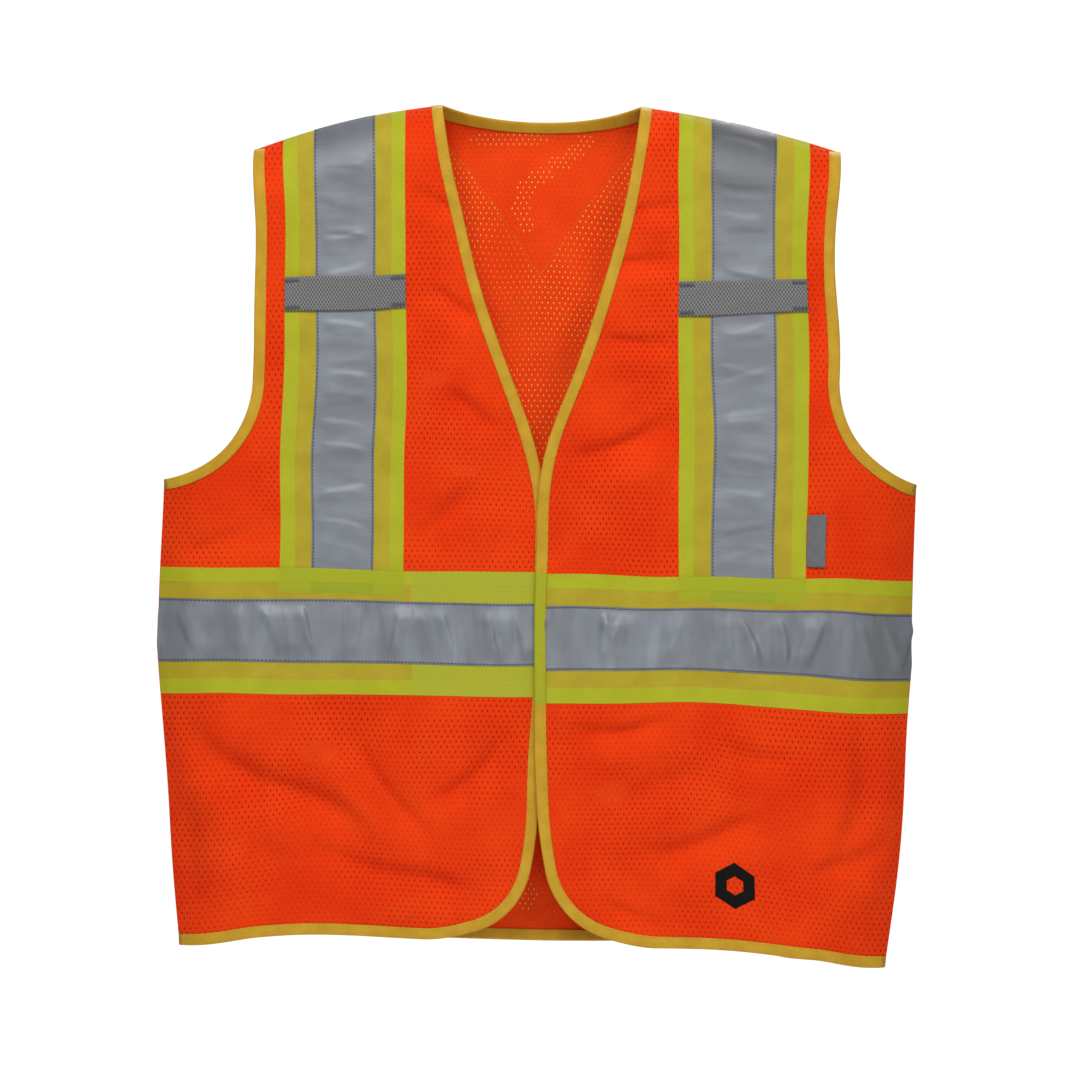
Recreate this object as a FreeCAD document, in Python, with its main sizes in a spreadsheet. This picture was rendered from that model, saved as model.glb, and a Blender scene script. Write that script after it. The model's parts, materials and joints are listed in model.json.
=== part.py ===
import FreeCAD, Part
import math
import os
import Sketcher

# High visibility vest: open mesh panels, bright contrast tape with reflective tape sewn on it, and bound edges.
# The vest hangs from its shoulders. X runs across it, to the wearer's left. The fronts face -Y, and Z is up.
# The origin is midway between the two points where the neckline meets the shoulder seams.
# Cloth is a thin closed shell: front and back bulge apart, and meet at the shoulder and side seams.
# Pieces are built on the wearer's left, then mirrored to the right.

SIZES = {
    # the bag that front and back make together
    "chest_half": 304,  # centre line to side seam
    "hem_half": 284,
    "taper_start": 450,  # depth at which the sides begin to draw in
    "hem_drop": 680,
    "half_depth": 27,  # centre plane to the mesh's inner face
    "side_round": 74,  # width over which a panel curves in to the side seam
    "shoulder_round": 45,  # height over which a panel curves in to the shoulder seam
    # the rims slant, so a layer of cloth on the outside reaches out past them by more than its own height
    "side_reach": 1.3,
    "shoulder_reach": 1.1,
    "arch_radius": 707.2,  # both shoulder seams lie on this circle
    "arch_drop": 702.7,  # its centre, below the origin
    "room": 30,  # how far cutting shapes run past the cloth
    # thicknesses
    "mesh": 1,
    "contrast": 0.5,
    "reflective": 0.4,
    "webbing": 1.5,
    "tack": 0.4,
    "hook": 1.2,
    "label": 0.6,
    "fold_over": 0.5,  # binding cloth on each side of the mesh
    # neckline and armholes
    "neck_half": 80,
    "back_neck_drop": 12.7,
    "armhole_half": 236,
    "armhole_turn": 225,
    "armhole_radius": 86,
    "underarm_drop": 304,
    # front edge
    "binding": 9,
    "lap": 4.5,  # how far each front passes the centre line
    "v_bend_half": 13.5,
    "v_bend_drop": 246,
    "v_upper_radius": 1000,
    "v_lower_radius": 250,
    "v_end_drop": 340,
    "corner_start_drop": 555,
    "corner_radius": 73,
    "corner_lead_in": 270.1,  # radius of the long curve down into the corner
    "corner_lead_out": 160.6,  # radius of the long curve out of it, along the hem
    "corner_drift": 7.3,  # how far the corner is from the edge, and from the hem, where the long curves end
    "corner_top": 58.4,  # height of the corner's upper end above the hem
    "corner_foot": 54.75,  # centre line to the corner's lower end
    "corner_end": 91.25,  # centre line to the end of the curve along the hem
    # tapes
    "contrast_width": 101.6,
    "reflective_width": 50.8,
    "waist_drop": 378,
    "tuck": 20,  # length of a brace hidden under the waist band
    "brace_half": 161,  # centre line to the middle of a brace
    "cross_slope": 0.734,  # sideways run per drop of the crossed tapes on the back
    # small pieces
    "tab_drop": 138.5,
    "tab_height": 27.5,
    "tack_width": 12,
    "tack_inset": 4,
    "tack_height": 5,
    "closure_height": 50.8,
    "label_width": 15.8,
    "label_height": 39.3,
    "label_drop": 329.5,
    "seam_allowance": 10,
    "seam_half": 1,  # half the thickness of the two layers turned in together
    # front flaps
    "fold_half": 74,  # centre line to the fold that a flap swings about
    "fold_top": 45,
    "fold_front": 30.2,  # the fold's axis, in front of the centre plane
    "fold_gap": 0.15,  # from the fold to each cut edge
    "rest_angle": 2,
    "gap": 0.3,
}

DOC = FreeCAD.newDocument("safety_vest")
SHEET = DOC.addObject("Spreadsheet::Sheet", "Sizes")
for row, (alias, number) in enumerate(SIZES.items(), 1):
    SHEET.set(f"A{row}", alias)
    SHEET.set(f"B{row}", str(number))
    SHEET.setAlias(f"B{row}", alias)
DOC.recompute()


class Dim:
    """A length worked out from the sheet: its number, and the expression that keeps it bound."""

    def __init__(self, number, text):
        self.number = number
        self.text = text

    def joined(self, other, sign, number):
        text = other.text if isinstance(other, Dim) else str(other)
        return Dim(number, f"({self.text} {sign} {text})")

    def __add__(self, other):
        return self.joined(other, "+", self.number + number_of(other))

    def __sub__(self, other):
        return self.joined(other, "-", self.number - number_of(other))

    def __mul__(self, other):
        return self.joined(other, "*", self.number * number_of(other))

    def __truediv__(self, other):
        return self.joined(other, "/", self.number / number_of(other))

    def __neg__(self):
        return Dim(-self.number, f"(0 - {self.text})")


def number_of(value):
    return value.number if isinstance(value, Dim) else value


def size(alias):
    return Dim(SHEET.get(alias), f"Sizes.{alias}")


def root(dim):
    return Dim(math.sqrt(dim.number), f"sqrt({dim.text})")


ZERO = Dim(0, "0")
FOLD = size("fold_half")
LAP = size("lap")
HEM = -size("hem_drop")
ROOM = size("room")
OUTER = size("half_depth") + size("mesh")
WAIST_TOP = -size("waist_drop")
WAIST_BOTTOM = WAIST_TOP - size("contrast_width")
BRACE = size("brace_half")


# ---- drawing ----


def bulge_point(a, b, radius, side):
    """The middle of the arc from a to b, which bulges to the left of its direction if side is 1, else right."""
    chord = b - a
    sagitta = radius - math.sqrt(radius**2 - chord.Length**2 / 4)
    left = FreeCAD.Vector(-chord.y, chord.x, 0).normalize()
    return (a + b) * 0.5 + left * sagitta * side


def draw(sketch, corners, arcs=None):
    """Closes a fully constrained outline through corners. arcs gives a side's (radius, side) by its number."""
    points = [FreeCAD.Vector(x.number, y.number, 0) for x, y in corners]
    arcs = arcs or {}
    ends = []
    for k, a in enumerate(points):
        b = points[(k + 1) % len(points)]
        if k not in arcs:
            sketch.addGeometry(Part.LineSegment(a, b))
            ends.append((1, 2))
            continue
        radius, side = arcs[k]
        middle = bulge_point(a, b, radius.number, side)
        # a sketch keeps every arc anticlockwise, so one that bulges left of its direction starts at b
        first, last = (b, a) if side == 1 else (a, b)
        sketch.addGeometry(Part.Arc(first, middle, last))
        ends.append((2, 1) if side == 1 else (1, 2))
        sketch.addConstraint(Sketcher.Constraint("Radius", k, radius.number))
        sketch.setExpression(f"Constraints[{sketch.ConstraintCount - 1}]", radius.text)
    for k, (x, y) in enumerate(corners):
        start = ends[k][0]
        after = (k + 1) % len(points)
        sketch.addConstraint(Sketcher.Constraint("Coincident", k, ends[k][1], after, ends[after][0]))
        for kind, dim in (("DistanceX", x), ("DistanceY", y)):
            sketch.addConstraint(Sketcher.Constraint(kind, -1, 1, k, start, dim.number))
            sketch.setExpression(f"Constraints[{sketch.ConstraintCount - 1}]", dim.text)
    return sketch


def rectangle(x, z):
    """The four corners of the box between the pairs x and z."""
    return [(x[0], z[0]), (x[1], z[0]), (x[1], z[1]), (x[0], z[1])]


def body_sketch(body, role, offset, corners, arcs=None):
    """A sketch on the body's own origin plane, moved along that plane's normal by offset."""
    sketch = body.newObject("Sketcher::SketchObject", body.Name + "_sketch")
    plane = next(f for f in body.Origin.OriginFeatures if f.Role == role)
    sketch.AttachmentSupport = [(plane, "")]
    sketch.MapMode = "FlatFace"
    sketch.setExpression("AttachmentOffset.Base.z", offset.text)
    return draw(sketch, corners, arcs)


def patch(name, corners, back, thickness):
    """A flat piece whose back lies in the plane Y = back, thickened towards the front."""
    body = DOC.addObject("PartDesign::Body", name)
    pad = body.newObject("PartDesign::Pad", name + "_pad")
    pad.Profile = body_sketch(body, "XZ_Plane", -back, corners)
    pad.setExpression("Length", thickness.text)
    return body


def prism(name, outline, y):
    """The outline, a sketch or its offset in the XZ plane, run from y[0] to y[1]."""
    solid = DOC.addObject("Part::Extrusion", name)
    solid.Base = outline
    solid.DirMode = "Custom"
    solid.Dir = FreeCAD.Vector(0, 1, 0)
    solid.Solid = True
    solid.setExpression("LengthFwd", y[1].text)
    solid.setExpression("LengthRev", (-y[0]).text)
    return solid


def flat_sketch(name, corners, arcs=None):
    sketch = DOC.addObject("Sketcher::SketchObject", name)
    sketch.Placement = FreeCAD.Placement(
        FreeCAD.Vector(), FreeCAD.Rotation(FreeCAD.Vector(1, 0, 0), 90)
    )
    return draw(sketch, corners, arcs)


def box(name, x, y, z):
    solid = DOC.addObject("Part::Box", name)
    for axis, length, (low, high) in (("x", "Length", x), ("y", "Width", y), ("z", "Height", z)):
        solid.setExpression(f"Placement.Base.{axis}", low.text)
        solid.setExpression(length, (high - low).text)
    return solid


def common(name, base, tool):
    solid = DOC.addObject("Part::Common", name)
    solid.Base = base
    solid.Tool = tool
    return solid


def cut(name, base, tool):
    solid = DOC.addObject("Part::Cut", name)
    solid.Base = base
    solid.Tool = tool
    return solid


def fuse(name, *pieces):
    solid = DOC.addObject("Part::MultiFuse", name)
    solid.Shapes = list(pieces)
    solid.Refine = True
    return solid


def mirrored(name, source):
    """The same piece on the wearer's right."""
    solid = DOC.addObject("Part::Mirroring", name)
    solid.Source = source
    solid.Normal = FreeCAD.Vector(1, 0, 0)
    return solid


# ---- the vest's bag shape ----


def round_radius(run, rise):
    """The radius of an arc that leaves a flat run tangentially and falls by rise over the given run."""
    return (run * run + rise * rise) / (rise * 2)


def lens(body, offset, half, depth, run):
    """The bag's level section: flat front and back, with arcs that meet at the side seams."""
    flat = half - size("side_round")
    reach = flat + run
    radius = round_radius(run, depth)
    corners = [(-reach, ZERO), (-flat, -depth), (flat, -depth), (reach, ZERO), (flat, depth), (-flat, depth)]
    arcs = {0: (radius, -1), 2: (radius, -1), 3: (radius, -1), 5: (radius, -1)}
    return body_sketch(body, "XY_Plane", offset, corners, arcs)


def bag(name, grow):
    """The space inside the vest, grown by a distance: a tapering lens, closed at the top by the shoulder arch."""
    depth = size("half_depth") + grow
    run = size("side_round") + grow * size("side_reach")
    sides = DOC.addObject("PartDesign::Body", name + "_sides")
    top = lens(sides, ROOM, size("chest_half"), depth, run)
    knee = lens(sides, -size("taper_start"), size("chest_half"), depth, run)
    share = ROOM / (size("hem_drop") - size("taper_start"))
    low_half = size("hem_half") - (size("chest_half") - size("hem_half")) * share
    low = lens(sides, HEM - ROOM, low_half, depth, run)
    loft = sides.newObject("PartDesign::AdditiveLoft", name + "_loft")
    loft.Profile = top
    loft.Sections = [knee, low]
    loft.Ruled = True

    coin = DOC.addObject("PartDesign::Body", name + "_arch")
    rim = size("arch_radius")
    flat = rim - size("shoulder_round")
    run = size("shoulder_round") + grow * size("shoulder_reach")
    corners = [(ZERO, -depth), (flat, -depth), (flat + run, ZERO), (flat, depth), (ZERO, depth)]
    radius = round_radius(run, depth)
    profile = body_sketch(coin, "XY_Plane", ZERO, corners, {1: (radius, -1), 2: (radius, -1)})
    turned = coin.newObject("PartDesign::Revolution", name + "_turned")
    turned.Profile = profile
    turned.ReferenceAxis = (profile, ["V_Axis"])
    turned.Angle = 360
    coin.setExpression("Placement.Base.z", (-size("arch_drop")).text)
    return common(name, sides, coin)


# Each layer of cloth is the shell between two bags. A layer's level is the growth of the bag that it lies on.
LEVELS = {"inside_binding": -size("fold_over"), "inside": ZERO, "mesh": size("mesh")}
LEVELS["binding"] = LEVELS["mesh"] + size("fold_over")
LEVELS["contrast_1"] = LEVELS["mesh"] + size("contrast")
LEVELS["reflective_1"] = LEVELS["contrast_1"] + size("reflective")
LEVELS["contrast_2"] = LEVELS["reflective_1"] + size("contrast")
LEVELS["reflective_2"] = LEVELS["contrast_2"] + size("reflective")
LEVELS["contrast_3"] = LEVELS["reflective_2"] + size("contrast")
LEVELS["reflective_3"] = LEVELS["contrast_3"] + size("reflective")
BAGS = {level: bag("bag_" + level, grow) for level, grow in LEVELS.items()}


def shell(inner, outer):
    return cut(f"shell_{outer}_on_{inner}", BAGS[outer], BAGS[inner])


MESH = shell("inside", "mesh")
BINDING = shell("inside_binding", "binding")
CONTRAST = [shell("mesh", "contrast_1"), shell("reflective_1", "contrast_2"), shell("reflective_2", "contrast_3")]
REFLECTIVE = [shell(f"contrast_{k}", f"reflective_{k}") for k in (1, 2, 3)]

# ---- outlines, cut straight through from front to back ----

FRONT = (-(ROOM * 2), ZERO)
BACK = (ZERO, ROOM * 2)
PAST_SIDE = size("chest_half") + ROOM

ARMHOLE_SIDE = [
    (PAST_SIDE, HEM),
    (PAST_SIDE, -(size("underarm_drop") + ROOM / 4)),
    (size("chest_half"), -size("underarm_drop")),
    (size("armhole_half"), -size("armhole_turn")),
    (size("armhole_half"), ROOM),
]

front_sketch = flat_sketch(
    "front_outline",
    [
        (size("neck_half"), ROOM),
        (size("neck_half"), ZERO),
        (size("v_bend_half"), -size("v_bend_drop")),
        (-LAP, -size("v_end_drop")),
        (-LAP, -size("corner_start_drop")),
        (size("corner_drift") - LAP, HEM + size("corner_top")),
        (size("corner_foot"), HEM + size("corner_drift")),
        (size("corner_end"), HEM),
        *ARMHOLE_SIDE,
    ],
    {
        1: (size("v_upper_radius"), 1),
        2: (size("v_lower_radius"), -1),
        4: (size("corner_lead_in"), -1),
        5: (size("corner_radius"), -1),
        6: (size("corner_lead_out"), -1),
        10: (size("armhole_radius"), 1),
    },
)
back_corners = [*ARMHOLE_SIDE, (size("neck_half"), ROOM), (size("neck_half"), ZERO)]
back_corners += [(-x, z) for x, z in reversed(back_corners)]
NECK_RADIUS = round_radius(size("neck_half"), size("back_neck_drop"))
back_sketch = flat_sketch(
    "back_outline",
    back_corners,
    {2: (size("armhole_radius"), 1), 6: (NECK_RADIUS, 1), 10: (size("armhole_radius"), 1)},
)


def inset(name, outline):
    """The outline drawn in by the binding's width: the cloth inside the binding."""
    inner = DOC.addObject("Part::Offset2D", name)
    inner.Source = outline
    inner.Join = "Intersection"
    inner.setExpression("Value", (-size("binding")).text)
    return inner


FRONT_EDGE = prism("front_edge_cut", front_sketch, FRONT)
FRONT_CLOTH = prism("front_cloth_cut", inset("front_inset", front_sketch), FRONT)
BACK_EDGE = prism("back_edge_cut", back_sketch, BACK)
BACK_CLOTH = prism("back_cloth_cut", inset("back_inset", back_sketch), BACK)
FRONT_STRIP = cut("front_strip", FRONT_EDGE, FRONT_CLOTH)
BACK_STRIP = cut("back_strip", BACK_EDGE, BACK_CLOTH)

BELOW = HEM - ROOM
FULL_HEIGHT = (BELOW, ROOM)
OUTBOARD = (FOLD + size("fold_gap"), PAST_SIDE)
INBOARD = (-ROOM, FOLD - size("fold_gap"))
# inboard of the fold, the cloth above the flap stays with the vest
FLAP_SPACE = box("flap_space", INBOARD, FRONT, (BELOW, -size("fold_top")))
SIDE_SPACE = box("side_space", OUTBOARD, FRONT, FULL_HEIGHT)

NODES = {}


def keep(name, piece):
    """Names a finished piece, so that it is written out."""
    piece.Label = name
    NODES[name] = piece
    return piece


def swung(piece, side):
    """Turns a flap's piece about its fold by the small angle at which the two fronts lap."""
    hinge = FreeCAD.Vector(side * FOLD.number, -size("fold_front").number, 0)
    turn = FreeCAD.Rotation(FreeCAD.Vector(0, 0, 1), size("rest_angle").number)
    DOC.recompute()
    piece.Placement = FreeCAD.Placement(FreeCAD.Vector(), turn, hinge).multiply(piece.Placement)
    return piece


def keep_pair(name, piece):
    """Keeps a piece made on the wearer's left, and its mirror image on the right."""
    keep(name + "_left", piece)
    keep(name + "_right", mirrored(name + "_mirror", piece))


def keep_flaps(name, piece):
    """Keeps a flap's piece made on the wearer's left and its mirror image, each turned so that the fronts lap."""
    # the left is an image of an image of its own, because to turn the piece would turn the right's image too
    left = mirrored(name + "_lapped", mirrored(name + "_image", piece))
    right = mirrored(name + "_mirror", piece)
    keep(name + "_left", swung(left, 1))
    keep(name + "_right", swung(right, -1))


# mesh panels
keep("back_panel", common("back_mesh", MESH, BACK_CLOTH))
front_mesh = common("front_mesh", MESH, FRONT_CLOTH)
keep_pair("front_panel", common("front_side_mesh", front_mesh, SIDE_SPACE))
keep_flaps("front_flap", common("front_flap_mesh", front_mesh, FLAP_SPACE))

# braces over the shoulders, down the fronts and under the waist band
for kind, layer in (("contrast", CONTRAST[0]), ("reflective", REFLECTIVE[0])):
    half = size(kind + "_width") / 2
    space = box(f"brace_{kind}_space", (BRACE - half, BRACE + half), FRONT, (WAIST_TOP - size("tuck"), ROOM))
    keep_pair(f"brace_{kind}", common(f"brace_{kind}_tape", layer, space))

# waist band: over the braces at the sides, and straight on the mesh of the flaps
for kind in ("contrast", "reflective"):
    spare = (size("contrast_width") - size(kind + "_width")) / 2
    height = (WAIST_BOTTOM + spare, WAIST_TOP - spare)
    layers = CONTRAST if kind == "contrast" else REFLECTIVE
    side_space = box(f"waist_{kind}_side_space", OUTBOARD, FRONT, height)
    keep_pair(f"waist_{kind}", common(f"waist_{kind}_side", layers[1], side_space))
    flap_space = common(
        f"waist_{kind}_flap_space", FRONT_CLOTH, box(f"waist_{kind}_flap_box", INBOARD, FRONT, height)
    )
    keep_flaps(f"flap_{kind}", common(f"waist_{kind}_flap", layers[0], flap_space))
    back_space = box(f"waist_{kind}_back_space", (-PAST_SIDE, PAST_SIDE), BACK, height)
    keep(f"waist_{kind}_back", common(f"waist_{kind}_back_tape", layers[2], back_space))

# crossed tapes on the back, each from a shoulder to the far side of the waist band
SLOPE = size("cross_slope")
STRETCH = root(SLOPE * SLOPE + 1)
CROSS_END = WAIST_TOP - size("tuck")


def cross_space(name, kind, side):
    """A slanted strip that starts at the shoulder end of the brace on the given side."""
    half = size(kind + "_width") / 2 * STRETCH
    top = BRACE + ROOM * SLOPE
    low = BRACE + CROSS_END * SLOPE
    corners = [(low - half, CROSS_END), (low + half, CROSS_END), (top + half, ROOM), (top - half, ROOM)]
    if side < 0:
        corners = [(-x, z) for x, z in reversed(corners)]
    return prism(name, flat_sketch(name + "_outline", corners), BACK)


for k, (side, word) in enumerate(((1, "left"), (-1, "right"))):
    for kind, layer in (("contrast", CONTRAST[k]), ("reflective", REFLECTIVE[k])):
        space = cross_space(f"cross_{kind}_{word}_space", kind, side)
        keep(f"back_cross_{kind}_{word}", common(f"cross_{kind}_{word}_tape", layer, space))

# binding round every free edge
edge_front = common("edge_front", BINDING, FRONT_STRIP)
edge_back = common("edge_back", BINDING, BACK_STRIP)
ARMHOLE_HEIGHT = (-(size("underarm_drop") + ROOM), ROOM)
HEM_HEIGHT = (BELOW, HEM + ROOM)
arm_space = box("arm_space", (size("armhole_half") - ROOM, PAST_SIDE), (FRONT[0], BACK[1]), ARMHOLE_HEIGHT)
arm_front = common("arm_front", edge_front, arm_space)
arm_back = common("arm_back", edge_back, arm_space)
keep_pair("armhole_binding", fuse("armhole_ring", arm_front, arm_back))

NECK_SIDE = size("neck_half") + ROOM
neck_front_space = box("neck_front_space", (OUTBOARD[0], NECK_SIDE), FRONT, (-(size("v_bend_drop") / 2), ROOM))
neck_stub = common("neck_stub", edge_front, neck_front_space)
neck_back_space = box("neck_back_space", (-NECK_SIDE, NECK_SIDE), BACK, (-(ROOM * 2), ROOM))
neck_back = common("neck_back", edge_back, neck_back_space)
keep("neck_binding", fuse("neck_ring", neck_stub, mirrored("neck_stub_mirror", neck_stub), neck_back))

keep_flaps("front_edge_binding", common("flap_edge", edge_front, FLAP_SPACE))
hem_space = box("hem_space", OUTBOARD, FRONT, HEM_HEIGHT)
keep_pair("hem_binding", common("hem_front", edge_front, hem_space))
hem_back_space = box("hem_back_space", (-PAST_SIDE, PAST_SIDE), BACK, HEM_HEIGHT)
keep("hem_binding_back", common("hem_back", edge_back, hem_back_space))

# seam allowances, turned in and overlocked, hanging inside the shoulder and side seams
SEAM_DEPTH = (-size("seam_half"), size("seam_half"))
seam = size("seam_allowance")
seam_span = (size("neck_half") + size("binding"), size("armhole_half") - size("binding"))
shoulder_strip = box("shoulder_strip", seam_span, SEAM_DEPTH, (-(ROOM * 3), ROOM))
inner_arch = DOC.addObject("Part::Cylinder", "inner_arch")
inner_arch.setExpression("Radius", (size("arch_radius") - seam).text)
inner_arch.setExpression("Height", (ROOM * 2).text)
inner_arch.Placement = FreeCAD.Placement(
    FreeCAD.Vector(0, ROOM.number, -size("arch_drop").number),
    FreeCAD.Rotation(FreeCAD.Vector(1, 0, 0), 90),
)
inside_shoulder = common("inside_shoulder", shoulder_strip, BAGS["inside"])
keep_pair("shoulder_seam", cut("shoulder_allowance", inside_shoulder, inner_arch))

UNDER_BINDING = -(size("underarm_drop") + size("binding") * 2)
side_corners = [
    (PAST_SIDE, UNDER_BINDING),
    (size("chest_half") - seam, UNDER_BINDING),
    (size("chest_half") - seam, -size("taper_start")),
    (size("hem_half") - seam, HEM + size("binding")),
    (PAST_SIDE, HEM + size("binding")),
]
side_strip = prism("side_strip", flat_sketch("side_strip_outline", side_corners), SEAM_DEPTH)
keep_pair("side_seam", common("side_allowance", side_strip, BAGS["inside"]))

# webbing tabs across the braces, and the thread that tacks their corners
ON_BRACE = -(size("half_depth") + LEVELS["reflective_1"])
TAB_LOW = -(size("tab_drop") + size("tab_height"))
TAB_HIGH = -size("tab_drop")
tab_half = size("contrast_width") / 2
tab_span = (BRACE - tab_half, BRACE + tab_half)
keep_pair("mic_tab", patch("tab", rectangle(tab_span, (TAB_LOW, TAB_HIGH)), ON_BRACE, size("webbing")))
tacks = []
for x in (tab_span[0] + size("tack_inset"), tab_span[1] - size("tack_inset") - size("tack_width")):
    for z in (TAB_LOW + size("tack_inset"), TAB_HIGH - size("tack_inset") - size("tack_height")):
        outline = rectangle((x, x + size("tack_width")), (z, z + size("tack_height")))
        place = f"tack_{len(tacks)}"
        tacks.append(patch(place, outline, ON_BRACE - size("webbing"), size("tack")))
group = DOC.addObject("Part::Compound", "tack_group")
group.Links = tacks
keep_pair("tab_tacks", group)

# hook and loop strips where the fronts lap at the waist
closure_low = WAIST_BOTTOM + (size("contrast_width") - size("closure_height")) / 2
closure_height = (closure_low, closure_low + size("closure_height"))
bound_edge = rectangle((-LAP, size("binding") - LAP), closure_height)
binding_back = -(size("half_depth") - size("fold_over"))
binding_front = -(size("half_depth") + LEVELS["binding"])
hook = patch("hook", bound_edge, binding_back + size("hook"), size("hook"))
keep("hook_strip", swung(hook, 1))
loop = mirrored("loop_mirror", patch("loop", bound_edge, binding_front, size("hook")))
keep("loop_strip", swung(loop, -1))

# blank fabric label sewn into the outer edge of the left brace
label_start = BRACE + tab_half + size("gap")
label_span = (label_start, label_start + size("label_width"))
label_height = (-(size("label_drop") + size("label_height")), -size("label_drop"))
label_back = -(OUTER + size("gap"))
keep("edge_label", patch("label", rectangle(label_span, label_height), label_back, size("label")))

# ---- checks and export ----

DOC.recompute()
failed = [o.Name for o in DOC.Objects if "Invalid" in o.State or "Error" in o.State]
if failed:
    raise RuntimeError(f"these objects failed: {failed}")
os.makedirs("parts", exist_ok=True)
for name, piece in NODES.items():
    shape = piece.Shape
    if shape.isNull() or not shape.isValid() or not shape.Solids:
        raise RuntimeError(f"{name} has no valid solid")
    shape.exportStep(f"parts/{name}.step")
    print(f"{name}: {len(shape.Solids)} solid, {shape.Volume / 1000:.2f} cm3")
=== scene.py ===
"""High visibility vest: the visual model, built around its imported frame.

Everything sewn is drawn first on the flat pattern, in millimetres, with x across the wearer and z up as in
the frame. place() then carries pattern points onto the hanging garment: the room that the fronts and the
back leave between them, the way the cloth hangs off its shoulders, its creases, and the height of a layer
above the mesh. One surface carries every layer of a panel, so the layers never cut through each other.
"""
import json
import math

import bpy
import numpy as np
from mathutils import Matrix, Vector
from mathutils.geometry import delaunay_2d_cdt
from mathutils.kdtree import KDTree


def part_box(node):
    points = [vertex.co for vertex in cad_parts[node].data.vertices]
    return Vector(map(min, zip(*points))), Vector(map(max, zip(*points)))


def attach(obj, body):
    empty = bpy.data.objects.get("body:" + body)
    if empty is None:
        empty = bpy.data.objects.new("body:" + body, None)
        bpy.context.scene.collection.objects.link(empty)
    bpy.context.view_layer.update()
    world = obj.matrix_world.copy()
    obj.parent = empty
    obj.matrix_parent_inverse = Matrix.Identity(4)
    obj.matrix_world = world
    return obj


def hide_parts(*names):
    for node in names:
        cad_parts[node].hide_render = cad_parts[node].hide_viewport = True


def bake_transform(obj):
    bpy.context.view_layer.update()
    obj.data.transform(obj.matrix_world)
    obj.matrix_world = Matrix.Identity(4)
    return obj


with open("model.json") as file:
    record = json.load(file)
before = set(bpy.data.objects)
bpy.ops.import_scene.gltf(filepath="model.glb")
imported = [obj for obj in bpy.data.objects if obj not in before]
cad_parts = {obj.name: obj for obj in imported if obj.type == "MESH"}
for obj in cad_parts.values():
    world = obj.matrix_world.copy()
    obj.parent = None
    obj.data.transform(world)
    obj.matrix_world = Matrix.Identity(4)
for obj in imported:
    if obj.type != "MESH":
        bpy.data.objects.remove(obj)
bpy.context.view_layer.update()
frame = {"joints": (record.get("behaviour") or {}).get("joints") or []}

MM = 0.001


def node_box(node):
    """The lowest and highest corner of a CAD node, in millimetres."""
    low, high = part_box(node)
    return low / MM, high / MM


# ---- Sizes, in millimetres -------------------------------------------------------------------------------
CHEST = node_box("side_seam_left")[1].x
HEM = node_box("hem_binding_back")[0].z
DEPTH = node_box("back_panel")[1].y
WAIST_BOTTOM, WAIST_TOP = (node_box("waist_contrast_left")[i].z for i in (0, 1))
SILVER_BOTTOM, SILVER_TOP = (node_box("waist_reflective_left")[i].z for i in (0, 1))
BRACE_INNER, BRACE_OUTER = (node_box("brace_contrast_left")[i].x for i in (0, 1))
BRACE_FOOT = node_box("brace_contrast_left")[0].z
BRACE = (BRACE_INNER + BRACE_OUTER) / 2
TAPE_HALF = (BRACE_OUTER - BRACE_INNER) / 2
SILVER_HALF = (SILVER_TOP - SILVER_BOTTOM) / 2
BINDING = node_box("hem_binding_back")[1].z - HEM
FOLD = node_box("front_panel_left")[0].x
FLAP_TOP = node_box("front_flap_left")[1].z

# the pattern
HEM_HALF = 284
TAPER_START = -450  # height at which the sides begin to draw in
SIDE_ROUND = 74  # width over which a panel curves in to the side seam
SHOULDER_ROUND = 45  # height over which a panel curves in to the shoulder seam
ARCH_RADIUS = 707.2  # both shoulder seams lie on this circle
ARCH_DROP = 702.7  # its centre, below the origin
NECK_HALF = 80
NECK_DROP = 12.7
ARMHOLE_HALF = 236
ARMHOLE_TURN = -225
ARMHOLE_RADIUS = 86
UNDERARM = -304
LAP = 4.5  # how far each front passes the centre line
V_BEND = (13.5, -246)
V_END = -340
V_UPPER_RADIUS, V_LOWER_RADIUS = 1000, 250
CORNER_START = -555
CORNER_TOP, CORNER_FOOT = (2.8, -621.6), (54.75, -672.7)
CORNER_END = 91.25
CORNER_LEAD_IN, CORNER_RADIUS, CORNER_LEAD_OUT = 270, 73, 160
CROSS_SLOPE = 0.734  # sideways run per drop of the crossed tapes on the back
LAP_TILT = math.tan(math.radians(2))
SEAM_ALLOWANCE = 10.0
END_GAP = 0.4  # from a tape's end to the shoulder seam
SIDE_GAP = 0.8  # from a band's end to the side seam

# layers above the mesh, and the mesh lattices
TAPE_LIFT = 0.45
SILVER_LIFT = 0.85
TAPE_THICK = 0.35
MESH_THICK = 0.4
SILVER_THICK = 0.3
CLOTH_STEP = 4.5
TAPE_STEP = 3.6
SILVER_STEP = 1.9
FOLD_STEP = 1.6
CURVE_STEP = 4.0  # spacing of points along an outline
STITCH = 2.9  # pitch of the stitches
THREAD_LIFT = 0.2
SILVER_SEAM, TAPE_SEAM = 1.5, 1.2  # from a tape's edge to its stitches
FOOT_RISE = 0.85  # how much a tape's end raises the band that covers it
BAND_RISE = 0.95  # how much a contrast and a reflective tape raise what lies over both
BINDING_SEAM = 1.6  # from a binding's inner edge to its stitches
BINDING_CROWN = 1.12  # height of a binding above the cloth's middle
SHARP = math.radians(55)

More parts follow.
